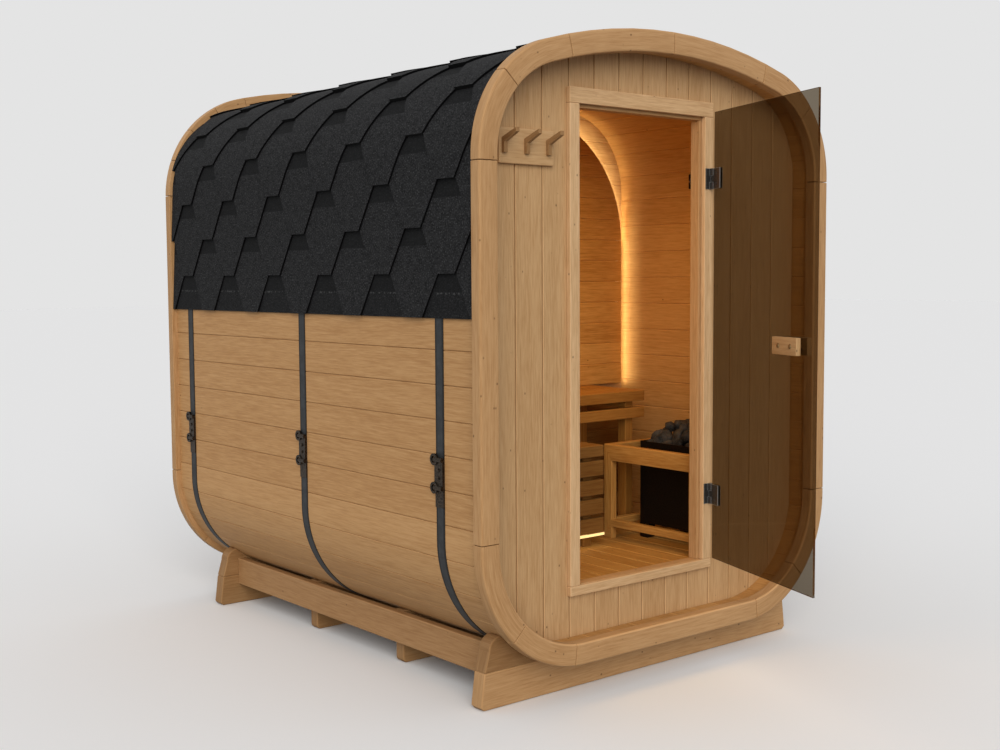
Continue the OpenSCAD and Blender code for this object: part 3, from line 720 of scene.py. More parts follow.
def strap_material():
    """Dark woven webbing, with painted shade as near black bands along its edges."""
    shader = Shader("strap", roughness=0.62, specular_ior_level=0.35)
    grain = shader.grain()
    threads = {"Vector": grain, "Scale": 95.0, "Distortion": 0.4}
    weave = shader.node("TexWave", threads, bands_direction="X").outputs["Fac"]
    wear_and_highlight = shader.span(shader.noise(grain, 30.0, 3.0), 0.4, 0.7, 0.0, 0.6)
    colour = shader.mix(weave, (0.014, 0.015, 0.016), (0.028, 0.030, 0.032))
    colour = shader.mix(wear_and_highlight, colour, (0.046, 0.050, 0.053))
    # Painted shade: the marked edge bands of the strap turn near black
    edge_shade = shader.times(shader.mark("edge"), 0.9)
    shader.give(base_color=shader.mix(edge_shade, colour, (0.003, 0.003, 0.003)))
    shader.bump(weave, 0.25, 0.0008)
    return shader.material


def metal(name, dark, light, edge_highlight_and_shade, roughness, streak=(1.0, 1.0, 1.0)):
    """Metal with faint streaks and spots, its marked edges painted a colour of their own: a painted
    highlight, but darker on the tensioners' bronze.
    """
    shader = Shader(name, metallic=0.85)
    spots = shader.noise(shader.scaled(shader.grain(), streak), 160.0, 3.0, 0.6)
    colour = shader.mix(shader.span(spots, 0.35, 0.68), dark, light)
    # Painted highlight on the marked edges; on the bronze the edges are painted darker
    shader.give(base_color=shader.mix(shader.mark("edge"), colour, edge_highlight_and_shade),
                roughness=shader.span(spots, 0.3, 0.7, roughness - 0.08, roughness + 0.1))
    shader.bump(spots, 0.08, 0.0008)
    return shader.material


def stone_material():
    """Rough dark stone with pale grains."""
    shader = Shader("stone", roughness=0.85)
    place = shader.node("TexCoord").outputs["Object"]
    coarse = shader.noise(place, 24.0, 5.0, 0.62)
    fine = shader.noise(place, 260.0, 2.0, 0.6)
    colour = shader.mix(shader.span(coarse, 0.3, 0.7), (0.006, 0.006, 0.005), (0.062, 0.054, 0.046))
    colour = shader.mix(shader.span(fine, 0.56, 0.72, 0.0, 0.4), colour, (0.14, 0.125, 0.11))
    shader.give(base_color=colour)
    shader.bump(shader.math("ADD", coarse, shader.times(fine, 0.3)), 0.5, 0.004)
    return shader.material


def light_material():
    """The glowing face of a light strip, a little uneven along its length."""
    shader = Shader("light", base_color=(0.8, 0.6, 0.3, 1.0), roughness=0.5, emission_strength=0.95)
    dots = shader.streaks(shader.grain(), (60.0, 1.0, 1.0), 1.0)
    colour = shader.mix(shader.span(dots, 0.3, 0.7), (0.92, 0.66, 0.24), (1.0, 0.76, 0.32))
    shader.give(emission_color=colour)
    return shader.material


def glass_material():
    """Bronze tinted glass that lets lamp light through."""
    shader = Shader("glass", base_color=(*GLASS_TINT, 1.0), roughness=0.0, ior=1.05)
    shader.give(transmission_weight=1.0)
    clear = shader.node("BsdfTransparent", {"Color": (*GLASS_SHADOW, 1.0)})
    shadow = shader.node("LightPath").outputs["Is Shadow Ray"]
    shader.finish("Material Output", shadow, shader.surface, clear)
    return shader.material


outline = Outline("front_rim", SHOULDER_R, CROWN_R)
rear_outline = Outline("rear_rim", REAR_SHOULDER_R, REAR_CROWN_R)
room_in = outline.half_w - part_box("rear_wall")[1].x

stave_wood = wood("stave_wood", shaded(PINE, (1.12, 1.11, 1.05)), 0.02)
rim_wood = wood("wood", shaded(PINE, (1.04, 1.05, 1.06)), 0.26)
front_wood = wood("front_wood", shaded(PINE, (1.13, 1.23, 1.34)), 0.30)
trim_wood = wood("trim_wood", shaded(PINE, (1.38, 1.58, 1.90)), 0.18)
timber_wood = wood("timber_wood", shaded(PINE, (0.86, 0.84, 0.82)), 0.06)
# A darker copy of the pine, painted shade, for the timbers low under the cabin and the hooks
painted_shade_wood = wood("painted_shade_wood", shaded(PINE, (0.68, 0.66, 0.62)), 0.06)
# The staves' inner faces, painted warmer, as lit by the hot room
lit_lining_wood = wood("lit_lining_wood", shaded(PINE, (1.12, 1.04, 0.78)), 0.03)
# Hot room woods, with warm room light painted in
lit_wood = wood("lit_wood", LIT_PINE, 0.03)
# The back panel painted brighter, as more brightly lit
panel_wood = wood("panel_wood", shaded(LIT_PINE, (1.28, 1.28, 1.22)), 0.03)
# The upper bench painted more orange, as in warm light
bench_wood = wood("bench_wood", shaded(LIT_PINE, (0.80, 0.68, 0.50)), 0.04)
# The lower bench painted darker, as in shade
slat_wood = wood("slat_wood", shaded(LIT_PINE, (0.50, 0.47, 0.45)), 0.04)
# Metals as dark, light and edge colour and roughness; the edge colour is a painted highlight, darker on the
# bronze
steel = metal("hinge", (0.070, 0.066, 0.060), (0.20, 0.195, 0.185), (0.38, 0.38, 0.37), 0.38,
              (1.0, 6.0, 1.0))
brass = metal("bolt", (0.24, 0.16, 0.07), (0.44, 0.31, 0.15), (0.60, 0.45, 0.25), 0.32)
bronze = metal("tensioner", (0.005, 0.0045, 0.004), (0.085, 0.062, 0.042), (0.020, 0.017, 0.014), 0.46)
heater_steel = metal("heater", (0.020, 0.017, 0.013), (0.040, 0.034, 0.027), (0.070, 0.062, 0.052), 0.42)
gauge_case = metal("gauge", (0.014, 0.011, 0.009), (0.030, 0.025, 0.020), (0.06, 0.05, 0.04), 0.5)


def mirrored(marks):
    """Spans between marks along the right of the outline and again along the left, with one across the
    middle of the floor."""
    spans = [(-marks[0], marks[0])]
    for a, b in zip(marks, marks[1:]):
        spans += [(a, b), (-b, -a)]
    return spans


def board_face(spread, a0, a1, groove, open0=True, open1=True):
    """Places across a board's face and their depth under it, with half a groove at each open side."""
    half, depth = groove
    floor = GROOVE_FLOOR * half
    first = a0 + half + EDGE_EASE if open0 else a0
    last = a1 - half - EDGE_EASE if open1 else a1
    face = [(a, 0.0) for a in spread(first, last)]
    if open0:
        face = [(a0, depth), (a0 + floor, depth), (a0 + half, EDGE_EASE)] + face
    if open1:
        face += [(a1 - half, EDGE_EASE), (a1 - floor, depth), (a1, depth)]
    return face


def stave(solid, s0, s1, y0, y1):
    """One stave of the shell, from s0 to s1 along the outline, with a warmer wood on the inside, its warm
    room light painted in.
    """
    s0, s1 = s0 + FIT / 2, s1 - FIT / 2
    outer = board_face(outline.stations, s0, s1, STAVE_GROOVE)
    inner = board_face(outline.stations, s0, s1, LINING_GROOVE)
    section = [(s, outline.proud + depth) for s, depth in outer]
    section += [(s, outline.shell_in - depth) for s, depth in reversed(inner)]
    rings = [[outline.point(s, inset, y) for s, inset in section] for y in (y0, y1)]
    count = len(inner)
    inside = range(count, 2 * count - 1)
    # The eased edges beside the inner grooves carry a painted highlight
    solid.loft(rings, lambda r, p: p.y, edges=(count + 2, 2 * count - 4), lined=inside)


def build_shell():
    """Staves all round, joined into the pieces of the shell by where their middles lie."""
    low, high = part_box("left_wall")
    first = outline.side_s(STAVE_LINE_Z) % STAVE_COVER
    marks = [first + k * STAVE_COVER for k in range(int((outline.total - first) / STAVE_COVER) + 1)]
    marks.append(outline.total)
    stands_for = {"staves_floor": ("floor_shell", "lower_corners"), "staves_left": ("left_wall",),
                  "staves_right": ("right_wall",), "staves_roof": ("roof_shell", "upper_corners")}
    solids = {name: Solid() for name in stands_for}
    for a, b in mirrored(marks):
        x, z = outline.at((a + b) / 2, outline.proud)
        name = "staves_left" if x < 0 else "staves_right"
        if z < outline.foot_z:
            name = "staves_floor"
        elif z > outline.spring_z:
            name = "staves_roof"
        stave(solids[name], a, b, low.y, high.y)
    for name, solid in solids.items():
        solid.build(name, [stave_wood, lit_lining_wood], "wood", replaced=stands_for[name])


def rim_section(front, back, shrink):
    """A rim's section as (inset, y): along its outer edge from back to face, then along its inner edge."""
    inward = math.copysign(1.0, back - front)
    outer = [(RIM_EASE + shrink, back), (shrink, back - inward * RIM_EASE)]
    for k in range(ROUND_STEPS + 1):
        turn = k / ROUND_STEPS * math.pi / 2
        y = front + inward * (shrink + RIM_ROUND * (1 - math.sin(turn)))
        outer.append((shrink + RIM_ROUND * (1 - math.cos(turn)), y))
    return outer + [(RIM_FACE - inset, y) for inset, y in reversed(outer)]


def build_rim(node, around, front, back, bends):
    """Rim pieces butted end to end, each easing in at its ends so that the seams show, with bends pieces
    round each shoulder. The rounding of their inner edge carries a painted highlight."""
    start, end = around.side_s(POST_SEAM_Z), around.crown_s(CROWN_SEAM_X)
    marks = [BASE_SEAM_X, (around.joints[1] + around.joints[2]) / 2, around.side_s(FOOT_SEAM_Z)]
    marks += [start + (end - start) * k / bends for k in range(bends + 1)]
    marks.append(around.total)
    outer_points = ROUND_STEPS + 3
    solid = Solid()
    for a, b in mirrored(marks):
        a, b = a + RIM_SEAM / 2, b - RIM_SEAM / 2
        body = around.stations(a + RIM_EASE, b - RIM_EASE)
        stops = [(a, RIM_EASE)] + [(s, 0.0) for s in body] + [(b, RIM_EASE)]
        rings = []
        for s, shrink in stops:
            rings.append([around.point(s, inset, y) for inset, y in rim_section(front, back, shrink)])
        # The rounding of the inner edge carries a painted highlight
        solid.loft(rings, lambda r, p: stops[r][0], edges=range(outer_points + 1, outer_points + 4))
    solid.build(node + "_pieces", [rim_wood], "wood", replaced=(node,))


def evenly(start, end):
    """Places across the flat of a board."""
    return [start + (end - start) * k / FACE_STEPS for k in range(FACE_STEPS + 1)]


def upright(across, depth, along):
    """Point on an upright board of a wall across the cabin."""
    return Vector((across, depth, along))


def level(across, depth, along):
    """Point on a level board of a wall across the cabin."""
    return Vector((along, depth, across))


def lengthwise(across, depth, along):
    """Point on a board that lies along the cabin."""
    return Vector((across, along, depth))


def plank(solid, put, a0, a1, face, back, low, high, groove, open0=True, open1=True):
    """A board between a0 and a1, from its face to its back, ending at low(a) and high(a) along its
    grain. put(across, depth, along) places a point."""
    line = board_face(evenly, a0, a1, groove, open0, open1)
    sign = math.copysign(1.0, back - face)
    section = [(a, face + sign * depth) for a, depth in line]
    section += [(a, back - sign * depth) for a, depth in reversed(line)]
    rings = [[put(a, depth, end(a)) for a, depth in section] for end in (low, high)]
    along = put(0, 0, 1)
    # The eased edges beside the grooves carry a painted highlight
    wear_and_highlight = [2] * open0 + [len(line) - 4] * open1
    solid.loft(rings, lambda r, p: p.dot(along), edges=wear_and_highlight)


def upright_boards(solid, face, back, hole=None):
    """Upright boards of an end wall, with a doorway (x0, x1, z0, z1) left open. A strip beside the shell
    that is too narrow for a board goes with the next one."""
    half = outline.half_w - room_in - FIT
    first = math.ceil((-half - BOARD_LINE_X) / BOARD_COVER)
    last = math.floor((half - BOARD_LINE_X) / BOARD_COVER)
    lines = [BOARD_LINE_X + k * BOARD_COVER for k in range(first, last + 1)]
    marks = [-half] + [x for x in lines if half - abs(x) > LEAST_BOARD] + [half]

    def low(x):
        return outline.span_at(x, room_in)[0]

    def high(x):
        return outline.span_at(x, room_in)[1]

    for a, b in zip(marks, marks[1:]):
        a, b = a + FIT / 2, b - FIT / 2
        cuts = [a, b]
        if hole:
            cuts = sorted(set(cuts + [x for x in hole[:2] if a < x < b]))
        for p, q in zip(cuts, cuts[1:]):
            ends = [(low, high)]
            if hole and p >= hole[0] - FIT and q <= hole[1] + FIT:
                ends = [(low, lambda x: hole[2]), (lambda x: hole[3], high)]
            for foot, head in ends:
                plank(solid, upright, p, q, face, back, foot, head, BOARD_GROOVE, p == a, q == b)


def level_boards(solid, low, high, half):
    """Level boards of a wall facing -Y, whose half width at height z is half(z)."""
    for k in range(math.ceil((high.z - low.z) / BACK_COVER)):
        a, b = low.z + k * BACK_COVER, min(low.z + (k + 1) * BACK_COVER, high.z)
        plank(solid, level, a + FIT, b - FIT, low.y, high.y, lambda z: -half(z), half, PANEL_GROOVE)


def build_walls():
    """The front wall round its doorway, the rear wall, and the hot room's back wall, with painted shade in
    its boards under the upper bench."""
    left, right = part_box("front_wall_left"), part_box("front_wall_right")
    hole = (left[1].x, right[0].x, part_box("front_wall_sill")[1].z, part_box("front_wall_head")[0].z)
    front = Solid()
    upright_boards(front, left[0].y, left[1].y, hole)
    parts = ("front_wall_left", "front_wall_right", "front_wall_head", "front_wall_sill")
    front.build("front_wall_boards", [front_wood], "wood", replaced=parts)
    rear = Solid()
    low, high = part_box("rear_wall")
    upright_boards(rear, high.y, low.y)
    rear.build("rear_wall_boards", [front_wood], "wood", replaced=("rear_wall",))
    low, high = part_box("hot_room_back")
    seat_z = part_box("upper_seat")[0].z
    split = low.z + math.ceil((seat_z - low.z) / BACK_COVER) * BACK_COVER
    under, back = Solid(), Solid()
    level_boards(under, low, Vector((high.x, high.y, split)), lambda z: outline.half_at(z, room_in))
    level_boards(back, Vector((low.x, low.y, split)), high, lambda z: outline.half_at(z, room_in))
    # Painted shade: the boards under the upper bench take the darker lower-bench wood
    under.build("under_bench_boards", [slat_wood], "lit_wood")
    back.build("hot_room_back_boards", [stave_wood], "lit_wood", replaced=("hot_room_back",))


def build_panel():
    """The arched panel before the hot room's back wall, of level boards on two battens."""
    low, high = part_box("back_panel")
    wall_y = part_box("light_strips")[1].y
    spring = high.z - PANEL_R

    def half(z):
        if z <= spring:
            return high.x
        return high.x - PANEL_R + other_side(PANEL_R, z - spring)

    panel = Solid()
    level_boards(panel, low, Vector((high.x, PANEL_BACK_Y, high.z)), half)
    for x in BATTEN_X:
        plank(panel, upright, x, x + BATTEN_W, PANEL_BACK_Y, wall_y, lambda a: low.z, lambda a: spring,
              BATTEN_GROOVE)
    panel.build("back_panel_boards", [panel_wood], "lit_wood", replaced=("back_panel",))


def build_deck():
    """Floor boards along the hot room."""
    low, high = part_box("floor_deck")
    half = outline.half_at(low.z, room_in)
    count = round(2 * half / DECK_COVER)
    step = 2 * half / count
    deck = Solid()
    for k in range(count):
        a = -half + k * step
        plank(deck, lengthwise, a + FIT, a + step - FIT, high.z, low.z, lambda x: low.y, lambda x: high.y,
              DECK_GROOVE)
    deck.build("floor_boards", [lit_wood], "lit_wood", replaced=("floor_deck",))


class Roof:
    """Courses of hexagonal shingle tabs from both eaves to the ridge. A place is its distance t up from
    the eave, on one side, and y."""

    def __init__(self):
        self.low, self.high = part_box("roof_covering")
        self.eave = outline.side_s(self.low.z)
        self.reach = outline.total - self.eave
        self.solid = Solid()

    def whole(self, t):
        """Span of a sheet along the whole roof, at any t."""
        return self.low.y, self.high.y

    def strip(self, side, rows, tone, shift):
        """A sheet through rows of (t, y0, y1, lift, v), with a skirt as thick as a shingle round it, the
        skirt and ends carrying the edge mark that the shingles paint as shade.
        """
        base = len(self.solid.points)
        for t, y0, y1, lift, _ in rows:
            s = side * (self.eave + t)
            for y, drop in ((y0, 0.0), (y1, 0.0), (y0, SHINGLE_T), (y1, SHINGLE_T)):
                self.solid.points.append(outline.point(s, outline.proud - (lift - drop), y))

        def spot(r, k):
            return (rows[r][1 + k % 2] + shift, rows[r][4])

        # Faces of the skirt carry the edge mark, for painted shade
        for r in range(len(rows) - 1):
            p, q = base + 4 * r, base + 4 * r + 4
            for i, j in ((0, 1), (1, 3), (3, 2), (2, 0)):
                grain = [spot(r, i), spot(r, j), spot(r + 1, j), spot(r + 1, i)]
                self.solid.add((p + i, p + j, q + j, q + i), grain, tone, float((i, j) != (0, 1)))
        # The ends carry the edge mark, for painted shade
        for r in (0, len(rows) - 1):
            p = base + 4 * r
            self.solid.add((p, p + 1, p + 3, p + 2), [spot(r, k) for k in (0, 1, 1, 0)], tone, 1.0)

    def rows(self, t0, t1, width, lift, v0):
        """Rows from t0 to t1 of a sheet whose span along the roof is width(t)."""
        stations = outline.stations(self.eave + t0, self.eave + t1)
        count = max(2, math.ceil((t1 - t0) / ROW_STEP))
        stations += [self.eave + t0 + (t1 - t0) * k / count for k in range(count + 1)]
        stops = [s - self.eave for s in distinct(stations, MERGE)]
        return [(t, *width(t), lift(t), t - v0) for t in stops]

    def course(self, side, index):
        """One course: the sheet under the next course, and its tabs."""
        flat = FIRST_FLAT + index * TAB_EXPOSURE
        joint = flat + TAB_EXPOSURE
        top = min(joint + TAB_EXPOSURE + TAB_LAP, self.reach)
        shift = RNG.uniform(0, SHINGLE_SPREAD)

        def lift(t):
            return SHINGLE_LOW + (SHINGLE_TOP - SHINGLE_LOW) * (t - flat) / (2 * TAB_EXPOSURE + TAB_LAP)

        if top - joint > LEAST_ROW:
            self.strip(side, self.rows(joint, top, self.whole, lift, flat), 0.0, shift)
        start, end = max(flat, 0.0), min(joint, self.reach)
        if end - start < LEAST_ROW:
            return
        centre = EVEN_TAB_Y + (index % 2) * TAB_PITCH / 2
        first = math.floor((self.low.y - centre) / TAB_PITCH)
        for k in range(first, first + math.ceil((self.high.y - self.low.y) / TAB_PITCH) + 2):
            middle = centre + k * TAB_PITCH

            def width(t):
                half = TAB_FLAT / 2 + TAB_SLOPE * (t - flat) / TAB_EXPOSURE
                ends = (middle - half, middle + half)
                return tuple(min(max(y, self.low.y), self.high.y) for y in ends)

            if width(end)[1] - width(end)[0] >= LEAST_TAB:
                self.strip(side, self.rows(start, end, width, lift, flat), 0.0, shift)

    def starter(self, side):
        """The sheet under the first course, along the eave."""
        top = FIRST_FLAT + TAB_EXPOSURE + TAB_LAP

        def lift(t):
            return SHINGLE_T * (1.0 - STARTER_FALL * t / top)

        rows = self.rows(0.0, top, self.whole, lift, FIRST_FLAT - TAB_EXPOSURE)
        self.strip(side, rows, 1.0, RNG.uniform(0, SHINGLE_SPREAD))

    def ridge(self):
        """Caps bent over the ridge, each lapping the next."""
        count = math.ceil((self.high.y - self.low.y) / RIDGE_EXPOSURE)
        step = (self.high.y - self.low.y) / count
        foot = self.reach - RIDGE_HALF
        for k in range(count):
            y0 = self.low.y + k * step
            y1 = min(y0 + RIDGE_LAP * step, self.high.y)
            shift = RNG.uniform(0, SHINGLE_SPREAD)
            lift = SHINGLE_LOW + RIDGE_STEP * (1 + k % 2)
            for side in (-1, 1):
                rows = self.rows(foot, self.reach, lambda t: (y0, y1), lambda t: lift, foot)
                self.strip(side, rows, 0.0, shift)

    def build(self):
        """The whole covering."""
        for side in (-1, 1):
            self.starter(side)
            for index in range(math.ceil((self.reach - FIRST_FLAT) / TAB_EXPOSURE)):
                self.course(side, index)
        self.ridge()
        self.solid.build("roof_shingles", [shingle_material()], "shingle", replaced=("roof_covering",))


def build_straps():
    """Flat webbing straps round the shell under the eaves, with painted shade along their edges."""
    low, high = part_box("straps")
    inner, outer = outline.proud, outline.half_w + low.x
    end = outline.side_s(high.z)
    stops = outline.stations(-end, end)
    solid = Solid()
    for y0, y1 in solid_spans("straps", 1):
        marks = (y0, y0 + EDGE_SHADE_BAND, y1 - EDGE_SHADE_BAND, y1)
        for k in range(3):
            a, b = marks[k], marks[k + 1]
            section = ((outer, a), (outer, b), (inner, b), (inner, a))
            rings = [[outline.point(s, inset, y) for inset, y in section] for s in stops]
            # The two outer bands carry the edge mark, which the strap's material paints as shade
            solid.loft(rings, lambda r, p: stops[r], edges=() if k == 1 else range(4))
    solid.build("strap_webbing", [strap_material()], "strap", replaced=("straps",))


def add_rod(solid, centre, axis, radius, length, tone, sides=16, dome=0.0):
    """A short round rod with eased ends, along axis about its centre, with a dome of that height on its
    far end."""
    turn = Vector(axis).to_track_quat("Z", "Y").to_matrix()
    ease = min(radius, length) * ROD_EASE
    stops = [(-length / 2, radius - ease), (-length / 2 + ease, radius), (length / 2 - ease, radius),
             (length / 2, radius - ease)]
    if dome:
        stops.append((length / 2 + dome, radius * DOME_PART))
    rings = []
    for along, r in stops:
        ring = []
        for k in range(sides):
            angle = 2 * math.pi * (k + 0.5) / sides
            ring.append(Vector(centre) + turn @ Vector((r * math.cos(angle), r * math.sin(angle), along)))
        rings.append(ring)
    solid.loft(rings, lambda r, p: stops[r][0], tone)


def add_ring(solid, centre, axis, radius, wire, tone, steps=28, sides=10):
    """A round wire ring about an axis."""
    turn = Vector(axis).to_track_quat("Z", "Y").to_matrix()
    base = len(solid.points)
    for k in range(steps):
        a = 2 * math.pi * k / steps
        for j in range(sides):
            b = 2 * math.pi * j / sides
            r = radius + wire * math.cos(b)
            place = Vector((r * math.cos(a), r * math.sin(a), wire * math.sin(b)))
            solid.points.append(Vector(centre) + turn @ place)
    for k in range(steps):
        for j in range(sides):
            corners = [(k + dk, j + dj) for dk, dj in ((0, 0), (1, 0), (1, 1), (0, 1))]
            face = [base + m % steps * sides + n % sides for m, n in corners]
            solid.add(face, [(RING_GRAIN * m, RING_GRAIN * n / 2) for m, n in corners], tone)


def build_tensioners():
    """Buckle plates with bolts, over the doubled straps' loops."""
    # All eased edges of the plates get the bronze's darker painted edge colour
    dress("tensioners", bronze, SLIM_EASE, wear_and_highlight=1.0)
    low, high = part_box("tensioners")
    bolts = Solid()
    for y0, y1 in solid_spans("straps", 1):
        for drop in BOLT_DROPS:
            place = (low.x + BOLT_IN, (y0 + y1) / 2, high.z - drop)
            add_rod(bolts, place, (-1, 0, 0), BOLT_R, BOLT_LENGTH, 0.5, 6, BOLT_DOME)
    bolts.build("tensioner_bolts", [bronze], "tensioner")


def add_stone(work, place, low, high):
    """One broken stone near a place, kept inside the basket."""
    place = place + Vector([RNG.uniform(-STONE_JITTER, STONE_JITTER) for _ in range(3)])
    shape = Matrix.Diagonal([STONE_SIZE * RNG.uniform(*STONE_SHAPE) for _ in range(3)]).to_4x4()
    turn = Matrix.Rotation(RNG.uniform(0, math.tau), 4, Vector([RNG.uniform(-1, 1) for _ in range(3)]))
    seed = Vector([RNG.uniform(0, STONE_SEEDS) for _ in range(3)])
    for vert in bmesh.ops.create_icosphere(work, subdivisions=3, radius=1.0)["verts"]:
        bulge = sum(noise.noise(vert.co * scale + seed) * height for scale, height in STONE_BULGES)
        spot = place + turn @ shape @ (vert.co * (STONE_BODY + bulge))
        vert.co = Vector([min(max(spot[k], low[k]), high[k]) for k in range(3)])


def build_stones():
    """Broken stones heaped in the heater's basket."""
    low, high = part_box("heater_stones")
    work = bmesh.new()
    for layer, (rows, columns, sizes) in enumerate(STONE_LAYERS):
        inset = STONE_SIZE * sizes
        z = low.z + STONE_SIZE * (STONE_FIRST + STONE_RISE * layer)
        for i in range(rows):
            for j in range(columns):
                x = low.x + inset + (high.x - low.x - 2 * inset) * i / (rows - 1)
                y = low.y + inset + (high.y - low.y - 2 * inset) * j / (columns - 1)
                add_stone(work, Vector((x, y, z)), low, high)
    mesh = bpy.data.meshes.new("heater_stones_heap")
    work.to_mesh(mesh)
    work.free()
    stones = [stone_material()]
    finish_piece(mesh, mesh.name, stones, "cabin", ["heater_stones"], STONE_SHARP)


def door_axes():
    """Directions off the door's glass and across it, with the door at rest."""
    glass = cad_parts["door_glass"].data
    normal = max(glass.polygons, key=lambda face: face.area).normal.copy()
    return normal, normal.cross(Vector((0, 0, 1)))


def reach(node, axis):
    """Lowest and highest place of a node along an axis."""
    places = [vert.co.dot(axis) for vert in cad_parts[node].data.vertices]
    return min(places), max(places)


def build_heads(name, material, node, parts, levels, radius, height):
    """Round bolt heads on both outer faces of a node on the door, at parts of its width."""
    normal, across = door_axes()
    low, high = reach(node, across)
    heads = Solid()
    for axis in (normal, -normal):
        plane = reach(node, axis)[1]
        for part in parts:
            for z in levels:
                place = across * (low + (high - low) * part) + axis * plane + Vector((0, 0, z))
                add_rod(heads, place, axis, radius, height, 0.5, 16, height / 2)
    heads.build(name, [material], "hinge", "door")


def build_door():
    """Hinges, clamps and handle with their screws and bolts, and the glass."""
    # Painted highlight on all the eased edges of the hinges and clamps
    dress("frame_hinges", steel, STEEL_EASE, wear_and_highlight=1.0)
    dress("door_clamps", steel, STEEL_EASE, 2, "door", wear_and_highlight=1.0)
    dress("door_handle", front_wood, BOARD_EASE, 3, "door")
    levels = [(a + b) / 2 for a, b in solid_spans("frame_hinges", 2)]
    leaf_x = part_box("frame_hinges")[1].x - SCREW_IN
    leaf_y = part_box("door_casing")[0].y - SCREW_OUT
    screws = Solid()
    for level_z in levels:
        for rise in SCREW_RISES:
            add_rod(screws, (leaf_x, leaf_y, level_z + rise), (0, -1, 0), SCREW_R, SCREW_LENGTH, 0.6, 12)
    screws.build("hinge_screws", [steel], "hinge")
    low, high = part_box("door_handle")
    build_heads("handle_bolts", brass, "door_handle", HANDLE_PARTS, [(low.z + high.z) / 2], *HANDLE_HEAD)
    levels = [z + rise for z in levels for rise in CLAMP_RISES]
    build_heads("clamp_bolts", steel, "door_clamps", CLAMP_PARTS, levels, *CLAMP_HEAD)
    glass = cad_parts["door_glass"].data
    glass.materials.clear()
    glass.materials.append(glass_material())


def build_gauge():
    """The wall gauge with two dials."""
    dress("wall_gauge", gauge_case)
    low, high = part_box("wall_gauge")
    dials = Solid()
    for part in DIAL_PARTS:
        place = (low.x, low.y + (high.y - low.y) * part, (low.z + high.z) / 2)
        add_ring(dials, place, (-1, 0, 0), DIAL_R, DIAL_WIRE, 0.5)
    dials.build("gauge_dials", [steel], "gauge")


def build_lights():
    """The light strips, and the cover that carries the lower one's light to the end of its bench."""
    glowing = light_material()
    dress("light_strips", glowing, FINE_EASE)
    low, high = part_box("lower_frame")
    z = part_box("light_strips")[0].z
    front, back = low.y - COVER_T, low.y - FIT
    section = ((front, z), (front, z + COVER_H), (back, z + COVER_H + COVER_LIP), (back, z - COVER_LIP))
    rings = []
    for x in (low.x, low.x + COVER_EASE, high.x - COVER_EASE, high.x):
        rings.append([Vector((x, *place)) for place in section])
    cover = Solid()
    cover.loft(rings, lambda r, p: p.x)
    cover.build("bench_light_cover", [glowing], "light")


def build_timber():
    """Timbers and the heater's case, which keep their CAD shape, with eased edges."""
    for node in ("left_rail", "right_rail"):
        dress(node, timber_wood, TIMBER_EASE)
    # Painted shade: the timbers low under the cabin take the darker copy of the pine
    for node in ("rear_beam", "rear_saddles", "bearers", "front_saddles"):
        dress(node, painted_shade_wood, TIMBER_EASE)
    dress("front_beam", rim_wood, TIMBER_EASE)
    dress("door_casing", trim_wood)
    dress("door_lining", rim_wood, SLIM_EASE)
    dress("hook_board", front_wood)
    # Painted shade on the hooks, with a painted highlight on all their eased edges
    dress("hooks", painted_shade_wood, FINE_EASE, wear_and_highlight=1.0)
    # Painted light in the bench woods: warmer on the upper bench, painted shade on the lower one
    benches = (("upper", bench_wood, UPPER_BOARDS), ("lower", slat_wood, LOWER_BOARDS))
    for name, material, boards in benches:
        low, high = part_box(name + "_seat")
        dress(name + "_seat", material, pitch=(1, low.y, (high.y - low.y) / boards))
        dress(name + "_frame", material)
    dress("heater_guard", lit_wood)
    dress("heater_body", heater_steel, TIMBER_EASE, 3)


def placed(place, columns):
    """Matrix of a thing at a place, whose axes point along the columns."""
    return Matrix.Translation(place) @ Matrix(columns).transposed().to_4x4()


def add_camera():
    """The camera at the photograph's viewing angle."""
    camera = add_object("camera", bpy.data.cameras.new("camera"))
    camera.data.sensor_width = CAMERA_SENSOR
    camera.data.lens = CAMERA_LENS
    flat = math.cos(CAMERA_PITCH)
    forward = Vector((math.sin(CAMERA_YAW) * flat, math.cos(CAMERA_YAW) * flat, -math.sin(CAMERA_PITCH)))
    right = Vector((math.cos(CAMERA_YAW), -math.sin(CAMERA_YAW), 0.0))
    up = right.cross(forward)
    tilt_cos, tilt_sin = math.cos(CAMERA_ROLL), math.sin(CAMERA_ROLL)
    columns = (right * tilt_cos + up * tilt_sin, up * tilt_cos - right * tilt_sin, -forward)
    camera.matrix_world = placed(CAMERA_PLACE, columns)
    bpy.context.scene.camera = camera


def add_floor():
    """A plain pale floor, darker to the light that bounces off it."""
    mesh = bpy.data.meshes.new("floor")
    far = FLOOR_REACH
    corners = [(-far, -far, 0), (far, -far, 0), (far, far, 0), (-far, far, 0)]
    mesh.from_pydata(corners, [], [(0, 1, 2, 3)])
    ground = Shader("floor", base_color=(*FLOOR_COLOUR, 1.0), roughness=1.0, specular_ior_level=0.0)
    bounce = ground.node("BsdfDiffuse", {"Color": (*FLOOR_BOUNCE, 1.0)})
    ground.finish("Material Output", ground.seen_rays(), bounce, ground.surface)
    mesh.materials.append(ground.material)
    floor = add_object("floor", mesh)
    floor.location.z = -FLOOR_DROP


def add_lamp(name, kind, matrix, power, colour, **settings):
    """A lamp that gives light and isn't seen itself."""
    lamp = add_object(name, bpy.data.lights.new(name, kind))
    lamp.data.energy = power
    lamp.data.color = colour
    for key, value in settings.items():
        setattr(lamp.data, key, value)
    lamp.matrix_world = matrix
    lamp.visible_camera = False
    lamp.visible_glossy = False


def aimed(place, aim):
    """Matrix of a lamp at a place that shines at another."""
    turn = (Vector(aim) - Vector(place)).to_track_quat("-Z", "Y")
    return Matrix.Translation(place) @ turn.to_matrix().to_4x4()


